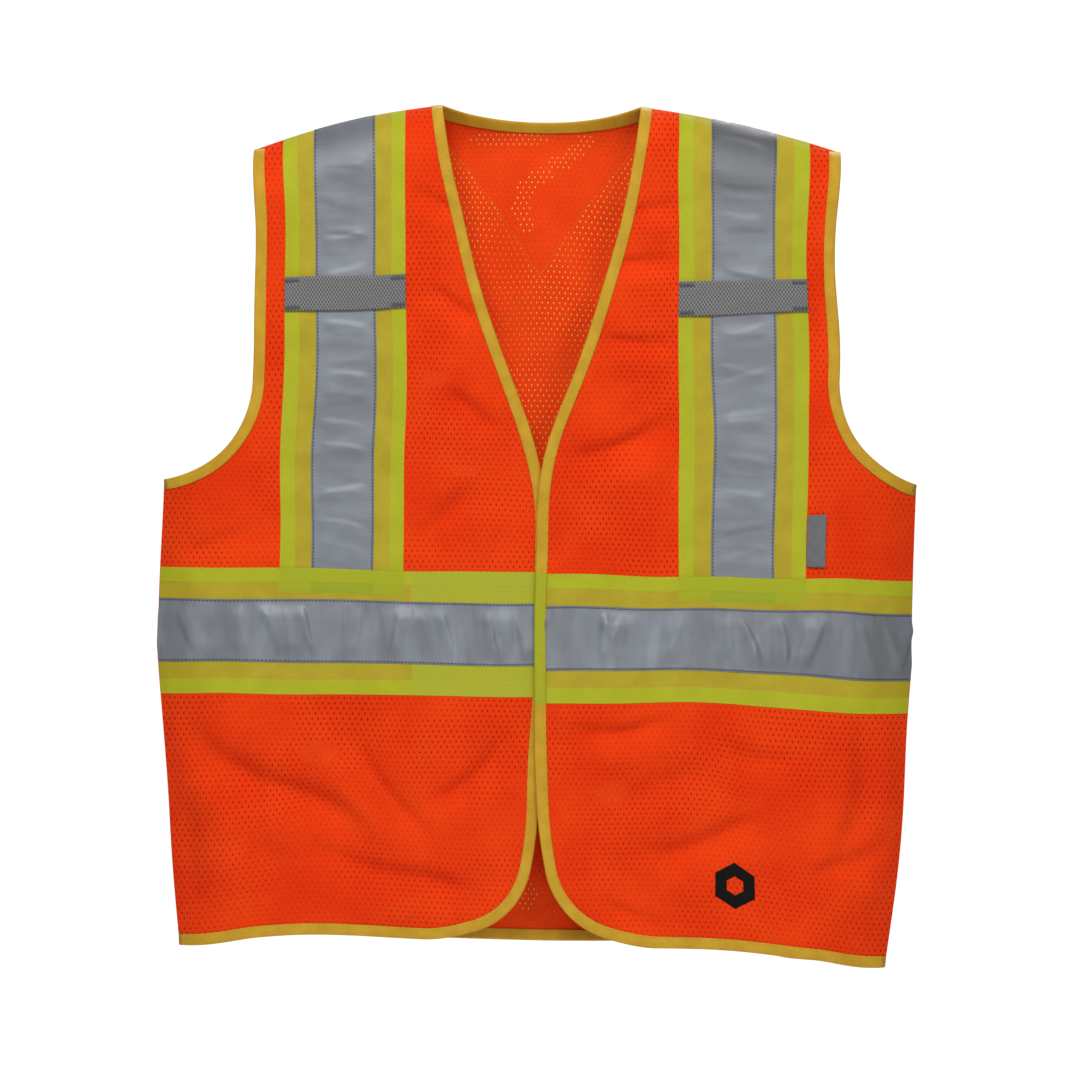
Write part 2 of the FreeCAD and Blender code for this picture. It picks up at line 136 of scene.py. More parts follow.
# ---- How the garment hangs: (pattern x, z): (shift in x, in z) ---------------------------------------------
RIM_HANG = {
    (80, 0): (1.8, 0), (-80, 0): (-0.2, 1.0),
    (161, -14): (2.6, -1.8), (-161, -14): (3.8, 2.3),
    (236, -36): (9.6, -1.3), (-236, -36): (4.4, 0.8),
    (236, -125): (-1, 0), (-236, -125): (8, 0),
    (236, -225): (9, 0), (-236, -225): (4.6, -3),
    (257, -276): (3.5, 7), (-257, -276): (-0.6, -5),
    (304, -304): (-0.6, -6), (-304, -304): (0.8, 5),
    (304, -378): (-2.7, -6.4), (-304, -378): (-5, 6.6),
    (301, -480): (-4.1, -11.8), (-301, -480): (-6, 5.7),
    (293, -575): (0, -14), (-296, -536): (-6, 3),
    (287, -625): (1, -15), (-288, -640): (-9, 0),
    (284, -680): (-8.6, -17.8), (-284, -680): (-7.2, 3),
}
RIM_SPREAD, RIM_LEVEL = 0.008, -350
INNER_HANG = {
    "over": {
        (80, 0): (1.8, 0), (76, -35): (4.4, 0), (60, -105): (3.6, 0), (45, -160): (1.6, 0),
        (-4, -340): (2, 0), (-4, -378): (0.3, -1),
        (-4, -480): (-0.5, -3.2), (-4, -550): (1, -4), (3, -622): (3.9, 0), (55, -673): (0, -1.3),
        (91, -680): (0, 0), (140, -680): (0, -2), (220, -680): (0, -8.5),
        (110, -20): (0, 0), (212, -30): (6, 0), (110, -150): (1.6, 0), (212, -150): (7, 0),
        (110, -375): (2.4, -2), (212, -375): (5.3, -4),
    },
    "under": {
        (-80, 0): (-0.2, -0.8), (-76, -35): (-3.4, 0), (-60, -105): (-0.6, 0), (-45, -160): (0.6, 0),
        (4, -340): (0, 0), (4, -378): (0, 1.4),
        (4, -480): (0, 1.7), (4, -555): (-8.5, 2), (-3, -622): (-7, 0), (-55, -673): (0, 4.7),
        (-91, -680): (0, 4.2), (-142, -680): (0, 11), (-200, -680): (0, 12),
        (-110, -20): (5.7, 0), (-212, -30): (2.8, 0), (-110, -150): (2.5, 0), (-212, -150): (4.4, 0),
        (-110, -375): (0, 3), (-212, -375): (2, 5),
    },
    "back": {
        (-40, -10): (0, 15), (0, -13): (0, 8), (0, -200): (0, 0), (0, -400): (0, 0),
        (-91, -680): (0, 0), (91, -680): (0, 0), (-142, -680): (0, 8), (-200, -680): (0, 9),
        (150, -300): (1, -2), (-150, -300): (1, 2),
        (220, -430): (-2, -8), (140, -430): (-1, -5), (70, -430): (0, -2),
        (-220, -430): (-3, 4), (-120, -430): (0, 2),
        (220, -560): (-2, -9), (140, -560): (-1, -6), (70, -560): (0, -3),
        (-220, -560): (-4, 3), (-120, -560): (0, 2),
    },
}
HANG_REACH = 48  # how far a mark's shift spreads
CREASE_GAIN = 2.7
DRIFT = 0.7  # size of the small random shifts inside the rims

# ---- Creases that the hanging cloth shows: start, end, half width, depth ---------------------------------
CREASES = {
    "over": [
        ((70, -86), (112, -70), 8, 1.4), ((58, -126), (108, -116), 8, 1.4), ((45, -188), (108, -182), 9, 1.5),
        ((18, -280), (106, -250), 12, 2.6), ((20, -500), (110, -490), 10, 2.0),
        ((135, -508), (210, -511), 10, 1.8), ((76, -602), (184, -566), 13, 2.8),
        ((216, -608), (276, -574), 12, 2.2), ((44, -642), (106, -655), 9, 1.4),
        ((262, -480), (240, -600), 12, 1.6), ((222, -60), (226, -250), 9, 1.0),
        ((235, -330), (285, -372), 12, 1.4), ((60, -560), (130, -520), 14, 1.4),
    ],
    "under": [
        ((-275, -500), (-130, -598), 16, 3.2), ((-150, -500), (-84, -600), 13, 2.4),
        ((-20, -505), (-88, -570), 12, 2.2), ((-276, -570), (-262, -655), 11, 1.8),
        ((-190, -600), (-46, -640), 13, 2.4), ((-104, -66), (-66, -80), 8, 1.3),
        ((-92, -144), (-46, -166), 9, 1.5), ((-78, -226), (-28, -256), 10, 1.8),
        ((-62, -300), (-104, -360), 14, 1.4), ((-226, -60), (-224, -260), 9, 1.0),
        ((-232, -330), (-290, -372), 12, 1.4), ((-230, -520), (-200, -640), 14, 1.6),
    ],
    "back": [
        ((0, -60), (40, -200), 20, 1.6), ((-60, -50), (-20, -180), 16, 1.2),
        ((90, -500), (200, -660), 20, 3.0), ((-90, -500), (-190, -660), 20, 3.0),
        ((0, -500), (10, -660), 18, 2.0), ((-250, -300), (-160, -375), 16, 2.2),
        ((250, -300), (160, -375), 16, 2.2), ((-200, -90), (-215, -280), 12, 1.4),
        ((40, -505), (130, -580), 14, 2.0), ((-240, -520), (-270, -650), 13, 2.0),
    ],
}


# ---- Pattern and placing ---------------------------------------------------------------------------------
def smooth(value, start, end):
    """0 before start, 1 after end, and an easy curve between them."""
    t = np.clip((value - start) / (end - start), 0, 1)
    return t * t * (3 - 2 * t)


def window(value, low, high, soft):
    """1 from low to high, falling to 0 over soft outside them."""
    return smooth(value, low - soft, low) * (1 - smooth(value, high, high + soft))


def shoulder(x):
    """Height of the shoulder line."""
    return -ARCH_DROP + np.sqrt(ARCH_RADIUS**2 - np.minimum(np.abs(x), ARCH_RADIUS) ** 2)


def side(z):
    """Half width of the pattern at a height."""
    return CHEST - (CHEST - HEM_HALF) * np.clip((TAPER_START - z) / (TAPER_START - HEM), 0, 1)


def rise(reach, run):
    """Depth of the round that a panel makes from its rim to where it is flat."""
    radius = (run * run + DEPTH * DEPTH) / (2 * DEPTH)
    return DEPTH - radius + np.sqrt(radius**2 - np.clip(run - reach, 0, run) ** 2)


def swell(x, z, seed, wavelength):
    """Soft random waves of about one millimetre."""
    total = np.zeros_like(x)
    waves = np.random.default_rng(seed).random((7, 3))
    for turn, stretch, phase in waves:
        k = 2 * math.pi / (wavelength * (0.6 + stretch))
        total += np.sin(k * (x * math.cos(math.pi * turn) + z * math.sin(math.pi * turn)) + 9 * phase)
    return total / math.sqrt(len(waves))


def crease(x, z, start, end, half, depth):
    """A long shallow valley, steeper on its upper side, that fades at its ends and wanders a little."""
    start, end = sorted((start, end))
    run = np.subtract(end, start).astype(float)
    length = np.hypot(*run)
    along = ((x - start[0]) * run[0] + (z - start[1]) * run[1]) / length
    below = ((x - start[0]) * run[1] - (z - start[1]) * run[0]) / length
    below = below + 0.35 * half * np.sin(along / (1.7 * half) + depth) - 0.5 * half
    ends = smooth(along, -0.1 * length, 0.3 * length) * (1 - smooth(along, 0.7 * length, 1.1 * length))
    valley = np.exp(-((below / np.where(below > 0, 1.2 * half, 0.6 * half)) ** 2))
    return -depth * ends * (valley - 0.45 * np.exp(-(((below - 2.2 * half) / (1.1 * half)) ** 2)))


def hang(x, z, panel):
    """Shift of the hanging cloth from its flat pattern; the panels share it along their common rims."""

    def blend_of(marks):
        top = np.zeros((2,) + x.shape)
        weight = np.full(x.shape, 1e-12)
        for (mark_x, mark_z), shift in marks.items():
            near = np.exp(-((x - mark_x) ** 2 + (z - mark_z) ** 2) / (2 * HANG_REACH**2))
            weight += near
            top += near * np.reshape(shift, (2,) + (1,) * x.ndim)
        return top / weight

    inside = smooth(np.minimum(side(z) - np.abs(x), shoulder(x) - z), 0, 60)
    rim = blend_of(RIM_HANG) + RIM_SPREAD * np.stack([x, z - RIM_LEVEL])
    drift = np.stack([swell(x, z, 90, 95), swell(x, z, 91, 95)]) * DRIFT * smooth(z, HEM + 20, HEM + 80)
    return rim + inside * (blend_of(RIM_HANG | INNER_HANG[panel]) + drift - rim)


def relief(x, z, panel):
    """Height of the creases in a panel's cloth; it dies out at the rims and is calmer under the tapes."""
    seed = {"over": 3, "under": 5, "back": 8}[panel]
    band = window(z, WAIST_BOTTOM, WAIST_TOP, 14)
    brace = window(np.abs(x), BRACE_INNER, BRACE_OUTER, 10) * smooth(z, WAIST_TOP - 10, WAIST_TOP + 20)
    free = 1 - 0.75 * np.maximum(band, brace * (panel != "back"))
    height = free * (0.75 * swell(x, z, seed, 130) + 0.28 * swell(x, z, seed + 1, 42))
    near_lap = 1 if panel == "back" else 0.3 + 0.7 * smooth(np.abs(x), 6, 40)
    for start, end, half, tall in CREASES[panel]:
        height = height + free * near_lap * CREASE_GAIN * crease(x, z, start, end, half, tall)
    height = height + band * 0.35 * swell(x, z * 0.25, seed + 2, 34)
    height = height + brace * 0.35 * swell(x * 0.3, z, seed + 3, 48)
    return height * smooth(np.minimum(side(z) - np.abs(x), shoulder(x) - z), 0, 30)


def surface(x, z, panel):
    """The cloth of a panel, without layers: an array of points."""
    reach = np.minimum(rise(side(z) - np.abs(x), SIDE_ROUND), rise(shoulder(x) - z, SHOULDER_ROUND))
    out = reach + relief(x, z, panel)
    if panel != "back":
        sign = 1 if panel == "over" else -1
        out = out + sign * LAP_TILT * np.maximum(0, FOLD - sign * x) * (1 - smooth(z, -170, FLAP_TOP))
    shift = hang(x, z, panel)
    return np.stack([x + shift[0], out if panel == "back" else -out, z + shift[1]], axis=-1)


def place(x, z, panel, lift=0.0):
    """Points of the hanging garment and the outward normals there, lift above the panel's cloth."""
    x, z = np.broadcast_arrays(np.asarray(x, float), np.asarray(z, float))
    step = 0.8
    across = surface(x + step, z, panel) - surface(x - step, z, panel)
    up = surface(x, z + step, panel) - surface(x, z - step, panel)
    normal = np.cross(up, across) if panel == "back" else np.cross(across, up)
    normal /= np.linalg.norm(normal, axis=-1, keepdims=True)
    return surface(x, z, panel) + normal * np.asarray(lift)[..., None], normal


def arc(start, end, radius, bulge):
    """Points from start to end on a circle that bows to the left of the way where bulge is 1, else right."""
    start, end = np.array(start, float), np.array(end, float)
    chord = end - start
    length = np.hypot(*chord)
    left = np.array([-chord[1], chord[0]]) / length
    centre = (start + end) / 2 - bulge * left * math.sqrt(radius**2 - length**2 / 4)
    angles = [math.atan2(p[1] - centre[1], p[0] - centre[0]) for p in (start, end)]
    sweep = (angles[1] - angles[0] + math.pi) % (2 * math.pi) - math.pi
    turns = angles[0] + sweep * np.linspace(0, 1, max(2, math.ceil(abs(sweep) * radius / CURVE_STEP) + 1))
    return centre + radius * np.stack([np.cos(turns), np.sin(turns)], axis=1)


def line(start, end):
    """Points from start to end on a straight line."""
    start, end = np.array(start, float), np.array(end, float)
    count = max(2, math.ceil(np.hypot(*(end - start)) / CURVE_STEP) + 1)
    return start + (end - start) * np.linspace(0, 1, count)[:, None]


def path(*stretches):
    """Stretches end to end, with each shared point once."""
    points = np.concatenate(stretches)
    keep = np.r_[True, np.hypot(*np.diff(points, axis=0).T) > 0.01]
    return points[keep]


def polygon(*corners):
    """A closed outline with straight sides."""
    return path(*(line(a, b) for a, b in zip(corners, corners[1:] + corners[:1])))[:-1]


def shoulder_path(start, end):
    """Points along the shoulder line."""
    x = np.linspace(start, end, max(2, math.ceil(abs(end - start) / CURVE_STEP) + 1))
    return np.stack([x, shoulder(x)], axis=1)


def mirrored(points):
    """The same points on the other side, in reverse, so that the cloth stays on the same hand."""
    return np.array(points)[::-1] * (-1, 1)


def front_edge():
    """The over front's free edge, from the neck down the V and round the corner to the hem."""
    return path(
        arc((NECK_HALF, 0), V_BEND, V_UPPER_RADIUS, 1),
        arc(V_BEND, (-LAP, V_END), V_LOWER_RADIUS, -1),
        line((-LAP, V_END), (-LAP, CORNER_START)),
        arc((-LAP, CORNER_START), CORNER_TOP, CORNER_LEAD_IN, -1),
        arc(CORNER_TOP, CORNER_FOOT, CORNER_RADIUS, -1),
        arc(CORNER_FOOT, (CORNER_END, HEM), CORNER_LEAD_OUT, -1),
        line((CORNER_END, HEM), (HEM_HALF, HEM)),
    )


def side_edge():
    """The left side seam, from the hem up to the underarm."""
    return path(line((HEM_HALF, HEM), (CHEST, TAPER_START)), line((CHEST, TAPER_START), (CHEST, UNDERARM)))


def armhole():
    """The left armhole, from the underarm up to the shoulder."""
    turn = (ARMHOLE_HALF, ARMHOLE_TURN)
    top = (ARMHOLE_HALF, float(shoulder(ARMHOLE_HALF)))
    return path(arc((CHEST, UNDERARM), turn, ARMHOLE_RADIUS, 1), line(turn, top))


def back_neck():
    """The back of the neck, from the wearer's left to the right."""
    radius = (NECK_HALF**2 + NECK_DROP**2) / (2 * NECK_DROP)
    return arc((NECK_HALF, 0), (-NECK_HALF, 0), radius, 1)


def front_outline():
    """The over front, all the way round."""
    return path(front_edge(), side_edge(), armhole(), shoulder_path(ARMHOLE_HALF, NECK_HALF))[:-1]


def back_outline():
    """The back, all the way round."""
    hem = line((0, HEM), (HEM_HALF, HEM))
    left = path(hem, side_edge(), armhole(), shoulder_path(ARMHOLE_HALF, NECK_HALF))
    return path(left, back_neck(), mirrored(left))[:-1]


# ---- Meshes ----------------------------------------------------------------------------------------------
def lattice(low, high, step):
    """Points in staggered rows over a box."""
    rows = enumerate(np.arange(low[1], high[1], step * math.sqrt(3) / 2))
    return [(x, z) for row, z in rows for x in np.arange(low[0] + step * (row % 2) / 2, high[0], step)]


def denser(outline, crowded):
    """A closed outline with more points in a stretch of x."""
    points = []
    for a, b in zip(outline, np.roll(outline, -1, axis=0)):
        inside = crowded[0] < (a[0] + b[0]) / 2 < crowded[1]
        count = math.ceil(np.hypot(*(b - a)) / FOLD_STEP) if inside else 1
        points += [a + (b - a) * k / count for k in range(count)]
    return np.array(points)


def triangles_over(outline, step, crowded=None):
    """Pattern points and triangles over a closed outline; crowded is a stretch of x round a fold, where the
    points lie closer.
    """
    outline = np.asarray(outline)
    low, high = outline.min(0), outline.max(0)
    inner = [(point, step) for point in lattice(low, high, step)]
    if crowded is not None:
        outline = denser(outline, crowded)
        inner = [(point, gap) for point, gap in inner if not crowded[0] < point[0] < crowded[1]]
        inner += [(p, FOLD_STEP) for p in lattice((crowded[0], low[1]), (crowded[1], high[1]), FOLD_STEP)]
    tree = KDTree(len(outline))
    for i, (x, z) in enumerate(outline):
        tree.insert((x, z, 0), i)
    tree.balance()
    inner = [point for point, gap in inner if tree.find((*point, 0))[2] > 0.62 * gap]
    points = [Vector(p) for p in outline] + [Vector(p) for p in inner]
    ring = [(i, (i + 1) % len(outline)) for i in range(len(outline))]
    made, _, faces, *_ = delaunay_2d_cdt(points, ring, [], 1, 1e-5)
    faces = np.array(faces)
    used, faces = np.unique(faces, return_inverse=True)
    return np.array(made)[used], faces.reshape(-1, 3)


def linked(name, data):
    """A new object in the scene."""
    made = bpy.data.objects.new(name, data)
    bpy.context.scene.collection.objects.link(made)
    return made


def new_object(name, points, faces, material, uv, ridden, slot):
    """A mesh object from points in millimetres. uv has one pair for each point, in metres.

    ridden is the body that it moves with, or None where blend_flap() is called on it after, which attaches it
    to no body.
    """
    mesh = bpy.data.meshes.new(name)
    mesh.from_pydata((np.asarray(points) * MM).tolist(), [], [list(map(int, f)) for f in faces])
    corners = np.zeros(len(mesh.loops), np.int32)
    mesh.loops.foreach_get("vertex_index", corners)
    layer = mesh.uv_layers.new(name="pattern")
    layer.data.foreach_set("uv", np.asarray(uv, np.float32)[corners].ravel())
    mesh.polygons.foreach_set("use_smooth", [True] * len(mesh.polygons))
    mesh.materials.append(material)
    mesh.update()
    made = linked(name, mesh)
    if ridden is not None:
        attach(made, ridden)
    return made


def grid_faces(rows, columns, closed=False):
    """Triangles over rows of points; closed joins the two ends of each row."""
    faces = []
    for row in range(rows - 1):
        for i in range(columns if closed else columns - 1):
            a, b = row * columns + i, row * columns + (i + 1) % columns
            faces += [(a, b, b + columns), (a, b + columns, a + columns)]
    return np.array(faces)


def tube(name, rings, uvs, material, ridden, slot):
    """A closed tube: rings holds its lengthwise rows of points, in order round its section."""
    points, uv = np.stack(rings, axis=1), np.stack(uvs, axis=1)
    count, size = points.shape[:2]
    faces = [
        (i * size + j, (i + 1) * size + j, (i + 1) * size + (j + 1) % size, i * size + (j + 1) % size)
        for i in range(count - 1) for j in range(size)
    ]
    faces.append(tuple(range(size)))
    faces.append(tuple((count - 1) * size + j for j in range(size))[::-1])
    return new_object(name, points.reshape(-1, 3), faces, material, uv.reshape(-1, 2), ridden, slot)


def shell(top, bottom, faces):
    """Points and faces of a closed thin body from its two sides, which share triangles."""
    edges = dict.fromkeys((int(a), int(b)) for face in faces for a, b in zip(face, np.roll(face, -1)))
    count = len(top)
    walls = [(b, a, a + count, b + count) for a, b in edges if (b, a) not in edges]
    under = [tuple(int(i) + count for i in face[::-1]) for face in faces]
    return np.concatenate([top, bottom]), [tuple(map(int, f)) for f in faces] + under + walls


def outward(points, faces, normals):
    """The faces, turned so that they look along the normals."""
    a, b, c = (points[faces[:, i]] for i in range(3))
    facing = (np.cross(b - a, c - a) * normals[faces[:, 0]]).sum(1)
    return np.where((facing < 0)[:, None], faces[:, ::-1], faces)


def flat_uv(x, z):
    """Pattern place in metres."""
    return np.stack([x, z], axis=1) * MM


def cloth(name, outline, panel, material, slot, ridden, lift=0.0, thick=TAPE_THICK, step=CLOTH_STEP,
          uv=flat_uv, lining=None, crowded=None):
    """A cut of cloth sewn on a panel; lift is its middle's height, a number or a function of x and z."""
    pattern, faces = triangles_over(outline, step, crowded)
    x, z = pattern.T
    height = lift(x, z) if callable(lift) else np.full(x.shape, float(lift))
    mesh_uv = uv(x, z)
    points, normals = place(x, z, panel, height)
    faces = outward(points, faces, normals)
    outer = len(faces)
    points, faces = shell(points + normals * thick / 2, points - normals * thick / 2, faces)
    made = new_object(name, points, faces, material, np.concatenate([mesh_uv, mesh_uv]), ridden, slot)
    made.data.set_sharp_from_angle(angle=SHARP)
    if lining is not None:
        made.data.materials.append(lining)
        made.data.polygons.foreach_set("material_index", [0] * outer + [1] * (len(faces) - outer))
    return made


def spaced(points, pitch):
    """Points an even pitch apart along a path."""
    points = np.asarray(points, float)
    along = np.r_[0, np.cumsum(np.hypot(*np.diff(points, axis=0).T))]
    at = np.linspace(0, along[-1], max(2, round(along[-1] / pitch) + 1))
    return np.stack([np.interp(at, along, points[:, k]) for k in (0, 1)], axis=1)


def inset(points, distance):
    """A path moved sideways into the cloth, which is on its left."""
    run = np.gradient(np.asarray(points, float), axis=0)
    run /= np.hypot(*run.T)[:, None]
    return points + distance * np.stack([-run[:, 1], run[:, 0]], axis=1)


def padding(z, panel):
    """How much the tapes that end under a binding raise it."""
    return BAND_RISE * window(z, WAIST_BOTTOM, WAIST_TOP, 3) if panel != "back" else 0 * z


def folded_strip(name, edge, panel, material, ridden):
    """A binding folded over a cloth edge; the cloth is on the left of the path."""
    edge = spaced(edge, CURVE_STEP)
    # the strip's section: distance in from the edge, in widths, and height above the cloth's middle
    outer = [(1, 0.9), (0.9, 1.0), (0.5, BINDING_CROWN), (0.12, 1.05), (0.0, 0.7), (-0.045, 0.0)]
    inner = [(0.06, 0.0), (0.12, 0.55), (0.5, 0.68), (1, 0.5)]
    section = outer + [(u, -h) for u, h in outer[-2::-1]] + [(u, -h) for u, h in inner[::-1]] + inner[1:]
    rings, uvs = [], []
    along = np.r_[0, np.cumsum(np.hypot(*np.diff(edge, axis=0).T))]
    across = 0.0
    previous = section[0]
    for u, h in section:
        x, z = inset(edge, u * BINDING).T
        raised = h + padding(z, panel) * (h > 0)
        rings.append(place(x, z, panel, raised)[0])
        across += math.hypot((u - previous[0]) * BINDING, h - previous[1])
        previous = (u, h)
        uvs.append(np.stack([along, np.full(len(along), across)], axis=1) * MM)
    made = tube(name, rings, uvs, material, ridden, "binding")
    return made


def threads(name, rows, panel, material, slot, ridden, length=1.9, half=0.36, tall=0.28):
    """Sewn stitches: rows holds (path in the pattern, lift, pitch). Each is a small spindle of thread."""
    starts, ends, lifts = [], [], []
    for points, lift, pitch in rows:
        even = spaced(points, pitch)
        run = np.diff(even, axis=0)
        run /= np.hypot(*run.T)[:, None]
        middle = (even[:-1] + even[1:]) / 2
        starts.append(middle - run * min(length, pitch) / 2)
        ends.append(middle + run * min(length, pitch) / 2)
        lifts.append(lift(*middle.T) if callable(lift) else np.full(len(middle), float(lift)))
    starts, ends, lifts = np.concatenate(starts), np.concatenate(ends), np.concatenate(lifts)
    first, _ = place(*starts.T, panel, lifts)
    last, _ = place(*ends.T, panel, lifts)
    middle, normal = place(*((starts + ends) / 2).T, panel, lifts)
    wide = np.cross(last - first, normal)
    wide *= half / np.linalg.norm(wide, axis=1, keepdims=True)
    points = np.stack(
        [first - normal * 0.12, last - normal * 0.12, middle + wide, middle - wide,
         middle + normal * tall, middle - normal * 0.15], axis=1,
    )
    spindle = [(0, 2, 4), (2, 1, 4), (1, 3, 4), (3, 0, 4), (2, 0, 5), (1, 2, 5), (3, 1, 5), (0, 3, 5)]
    faces = [tuple(6 * i + j for j in tri) for i in range(len(points)) for tri in spindle]
    uv = np.repeat(flat_uv(*starts.T), 6, axis=0)
    return new_object(name, points.reshape(-1, 3), faces, material, uv, ridden, slot)


# ---- Materials -------------------------------------------------------------------------------------------
class Graph:
    """A material and short ways to wire its nodes."""

    def __init__(self, name):
        self.material = bpy.data.materials.new(name)
        self.material.use_nodes = True
        self.tree = self.material.node_tree
        self.shader = self.tree.nodes["Principled BSDF"]
        pin = self.tree.nodes.new("ShaderNodeUVMap")
        pin.uv_map = "pattern"
        self.uv = pin.outputs[0]
        split = self.tree.nodes.new("ShaderNodeSeparateXYZ")
        self.tree.links.new(self.uv, split.inputs[0])
        self.u, self.v = split.outputs[0], split.outputs[1]

    def wire(self, socket, value):
        if isinstance(value, bpy.types.NodeSocket):
            self.tree.links.new(value, socket)
        else:
            socket.default_value = value

    def math(self, operation, *values):
        node = self.tree.nodes.new("ShaderNodeMath")
        node.operation = operation
        for socket, value in zip(node.inputs, values):
            self.wire(socket, value)
        return node.outputs[0]

    def times(self, first, second):
        return self.math("MULTIPLY", first, second)

    def plus(self, first, second):
        return self.math("ADD", first, second)

    def ramp(self, value, low, high, bottom=0.0, top=1.0):
        """value mapped from low..high to bottom..top with an easy curve."""
        node = self.tree.nodes.new("ShaderNodeMapRange")
        node.interpolation_type = "SMOOTHSTEP"
        for socket, given in zip(node.inputs, (value, low, high, bottom, top)):
            self.wire(socket, given)
        return node.outputs[0]

    def window(self, value, low, high, soft):
        """1 from low to high and 0 outside them, in the value's own unit."""
        before = self.ramp(value, low - soft, low)
        after = self.ramp(value, high, high + soft)
        return self.times(before, self.math("SUBTRACT", 1.0, after))

    def noise(self, scale, detail, stretch=(1, 1, 1)):
        node = self.tree.nodes.new("ShaderNodeTexNoise")
        mapping = self.tree.nodes.new("ShaderNodeMapping")
        mapping.inputs["Scale"].default_value = stretch
        self.tree.links.new(self.uv, mapping.inputs["Vector"])
        self.tree.links.new(mapping.outputs[0], node.inputs["Vector"])
        node.inputs["Scale"].default_value = scale
        node.inputs["Detail"].default_value = detail
        return node.outputs[0]

    def wave(self, value, pitch):
        """A sine of -1..1 along a value in metres."""
        return self.math("SINE", self.times(value, 2 * math.pi / pitch))

    def mix(self, share, first, second):
        node = self.tree.nodes.new("ShaderNodeMix")
        node.data_type = "RGBA"
        for key, value in (("Factor_Float", share), ("A_Color", first), ("B_Color", second)):
            self.wire(next(s for s in node.inputs if s.identifier == key), value)
        return next(s for s in node.outputs if s.identifier == "Result_Color")

    def between(self, field, dark, light, low=0.3, high=0.7):
        """A colour from dark to light, both in sRGB bytes, as a field rises from low to high."""
        return self.mix(self.ramp(field, low, high), colour(*dark), colour(*light))

    def speckle(self, tone, field, share, bytes_over, low=0.3, high=0.7):
        """A tone with up to a share of another, in sRGB bytes, where a field is high."""
        return self.mix(self.times(self.ramp(field, low, high), share), tone, colour(*bytes_over))

    def finish(self, tone, rough, height, bump, **plain):
        """Wires the shader. plain holds values that are the same all over, by socket name."""
        self.wire(self.shader.inputs["Base Color"], tone)
        self.wire(self.shader.inputs["Roughness"], rough)
        node = self.tree.nodes.new("ShaderNodeBump")
        node.inputs["Distance"].default_value = bump
        self.wire(node.inputs["Height"], height)
        self.tree.links.new(node.outputs[0], self.shader.inputs["Normal"])
        for key, value in plain.items():
            self.shader.inputs[key.replace("_", " ")].default_value = value
        return self.material


def colour(red, green, blue):
    """A linear colour from sRGB bytes."""
    def linear(byte):
        s = byte / 255
        return s / 12.92 if s <= 0.04045 else ((s + 0.055) / 1.055) ** 2.4
    return (linear(red), linear(green), linear(blue), 1.0)


# the knit's eyelets, in metres: their spacing and half their size
HOLE_ACROSS, HOLE_UP = 0.0047, 0.00418
HOLE_HALF, HOLE_TALL = 0.00052, 0.00092


def hole_field(g):
    """Distance from the nearest eyelet of the knit, 1 at its edge."""
    row = g.math("DIVIDE", g.v, HOLE_UP)
    odd = g.math("MODULO", g.math("FLOOR", g.plus(row, 1000.0)), 2.0)
    column = g.plus(g.math("DIVIDE", g.u, HOLE_ACROSS), g.times(odd, 0.5))
    sideways = g.math("SUBTRACT", g.math("FRACT", column), 0.5)
    upright = g.math("SUBTRACT", g.math("FRACT", row), 0.5)
    a = g.math("POWER", g.math("ABSOLUTE", g.times(sideways, HOLE_ACROSS / HOLE_HALF)), 2.0)
    b = g.math("POWER", g.math("ABSOLUTE", g.times(upright, HOLE_UP / HOLE_TALL)), 2.0)
    return g.math("SQRT", g.plus(a, b))


def over_tapes(g):
    """1 where one of the back's crossed tapes lies behind the mesh."""
    covered = 0.0
    for sign in (1, -1):
        centre = g.math("MULTIPLY_ADD", g.v, sign * CROSS_SLOPE, sign * BRACE * MM)
        offset = g.math("ABSOLUTE", g.math("SUBTRACT", g.u, centre))
        reach = TAPE_HALF * MM * math.hypot(1, CROSS_SLOPE)
        covered = g.math("MAXIMUM", covered, g.ramp(offset, reach - 0.002, reach, 1.0, 0.0))
    return covered


# where the eyelets show light: on the back they hang open, and there and on the front their rims are painted
# pale, as lit; middle in the pattern, half width and half height
OPEN_SPOTS = [
    (-70, -6, 12, 7), (-25, -27, 34, 7), (37, -27, 8, 8), (28, -38, 9, 7), (15, -49, 11, 7), (0, -59, 11, 7),
    (-12, -70, 9, 8), (-16, -85, 9, 10), (-12, -99, 8, 6), (-174, -529, 15, 11), (-12, -642, 11, 15),
    (57, -553, 15, 11), (283, -569, 5, 16), (-85, -219, 12, 6), (-62, -297, 12, 5), (196, -170, 16, 10),
]


def spots(g):
    """1 inside the open spots, falling to 0 at their rims."""
    total = 0.0
    for x, z, wide, tall in OPEN_SPOTS:
        across = g.math("DIVIDE", g.math("SUBTRACT", g.u, x * MM), wide * MM)
        up = g.math("DIVIDE", g.math("SUBTRACT", g.v, z * MM), tall * MM)
        reach = g.plus(g.times(across, across), g.times(up, up))
        total = g.math("MAXIMUM", total, g.ramp(reach, 0.4, 1.3, 0.72, 0.0))
    return total


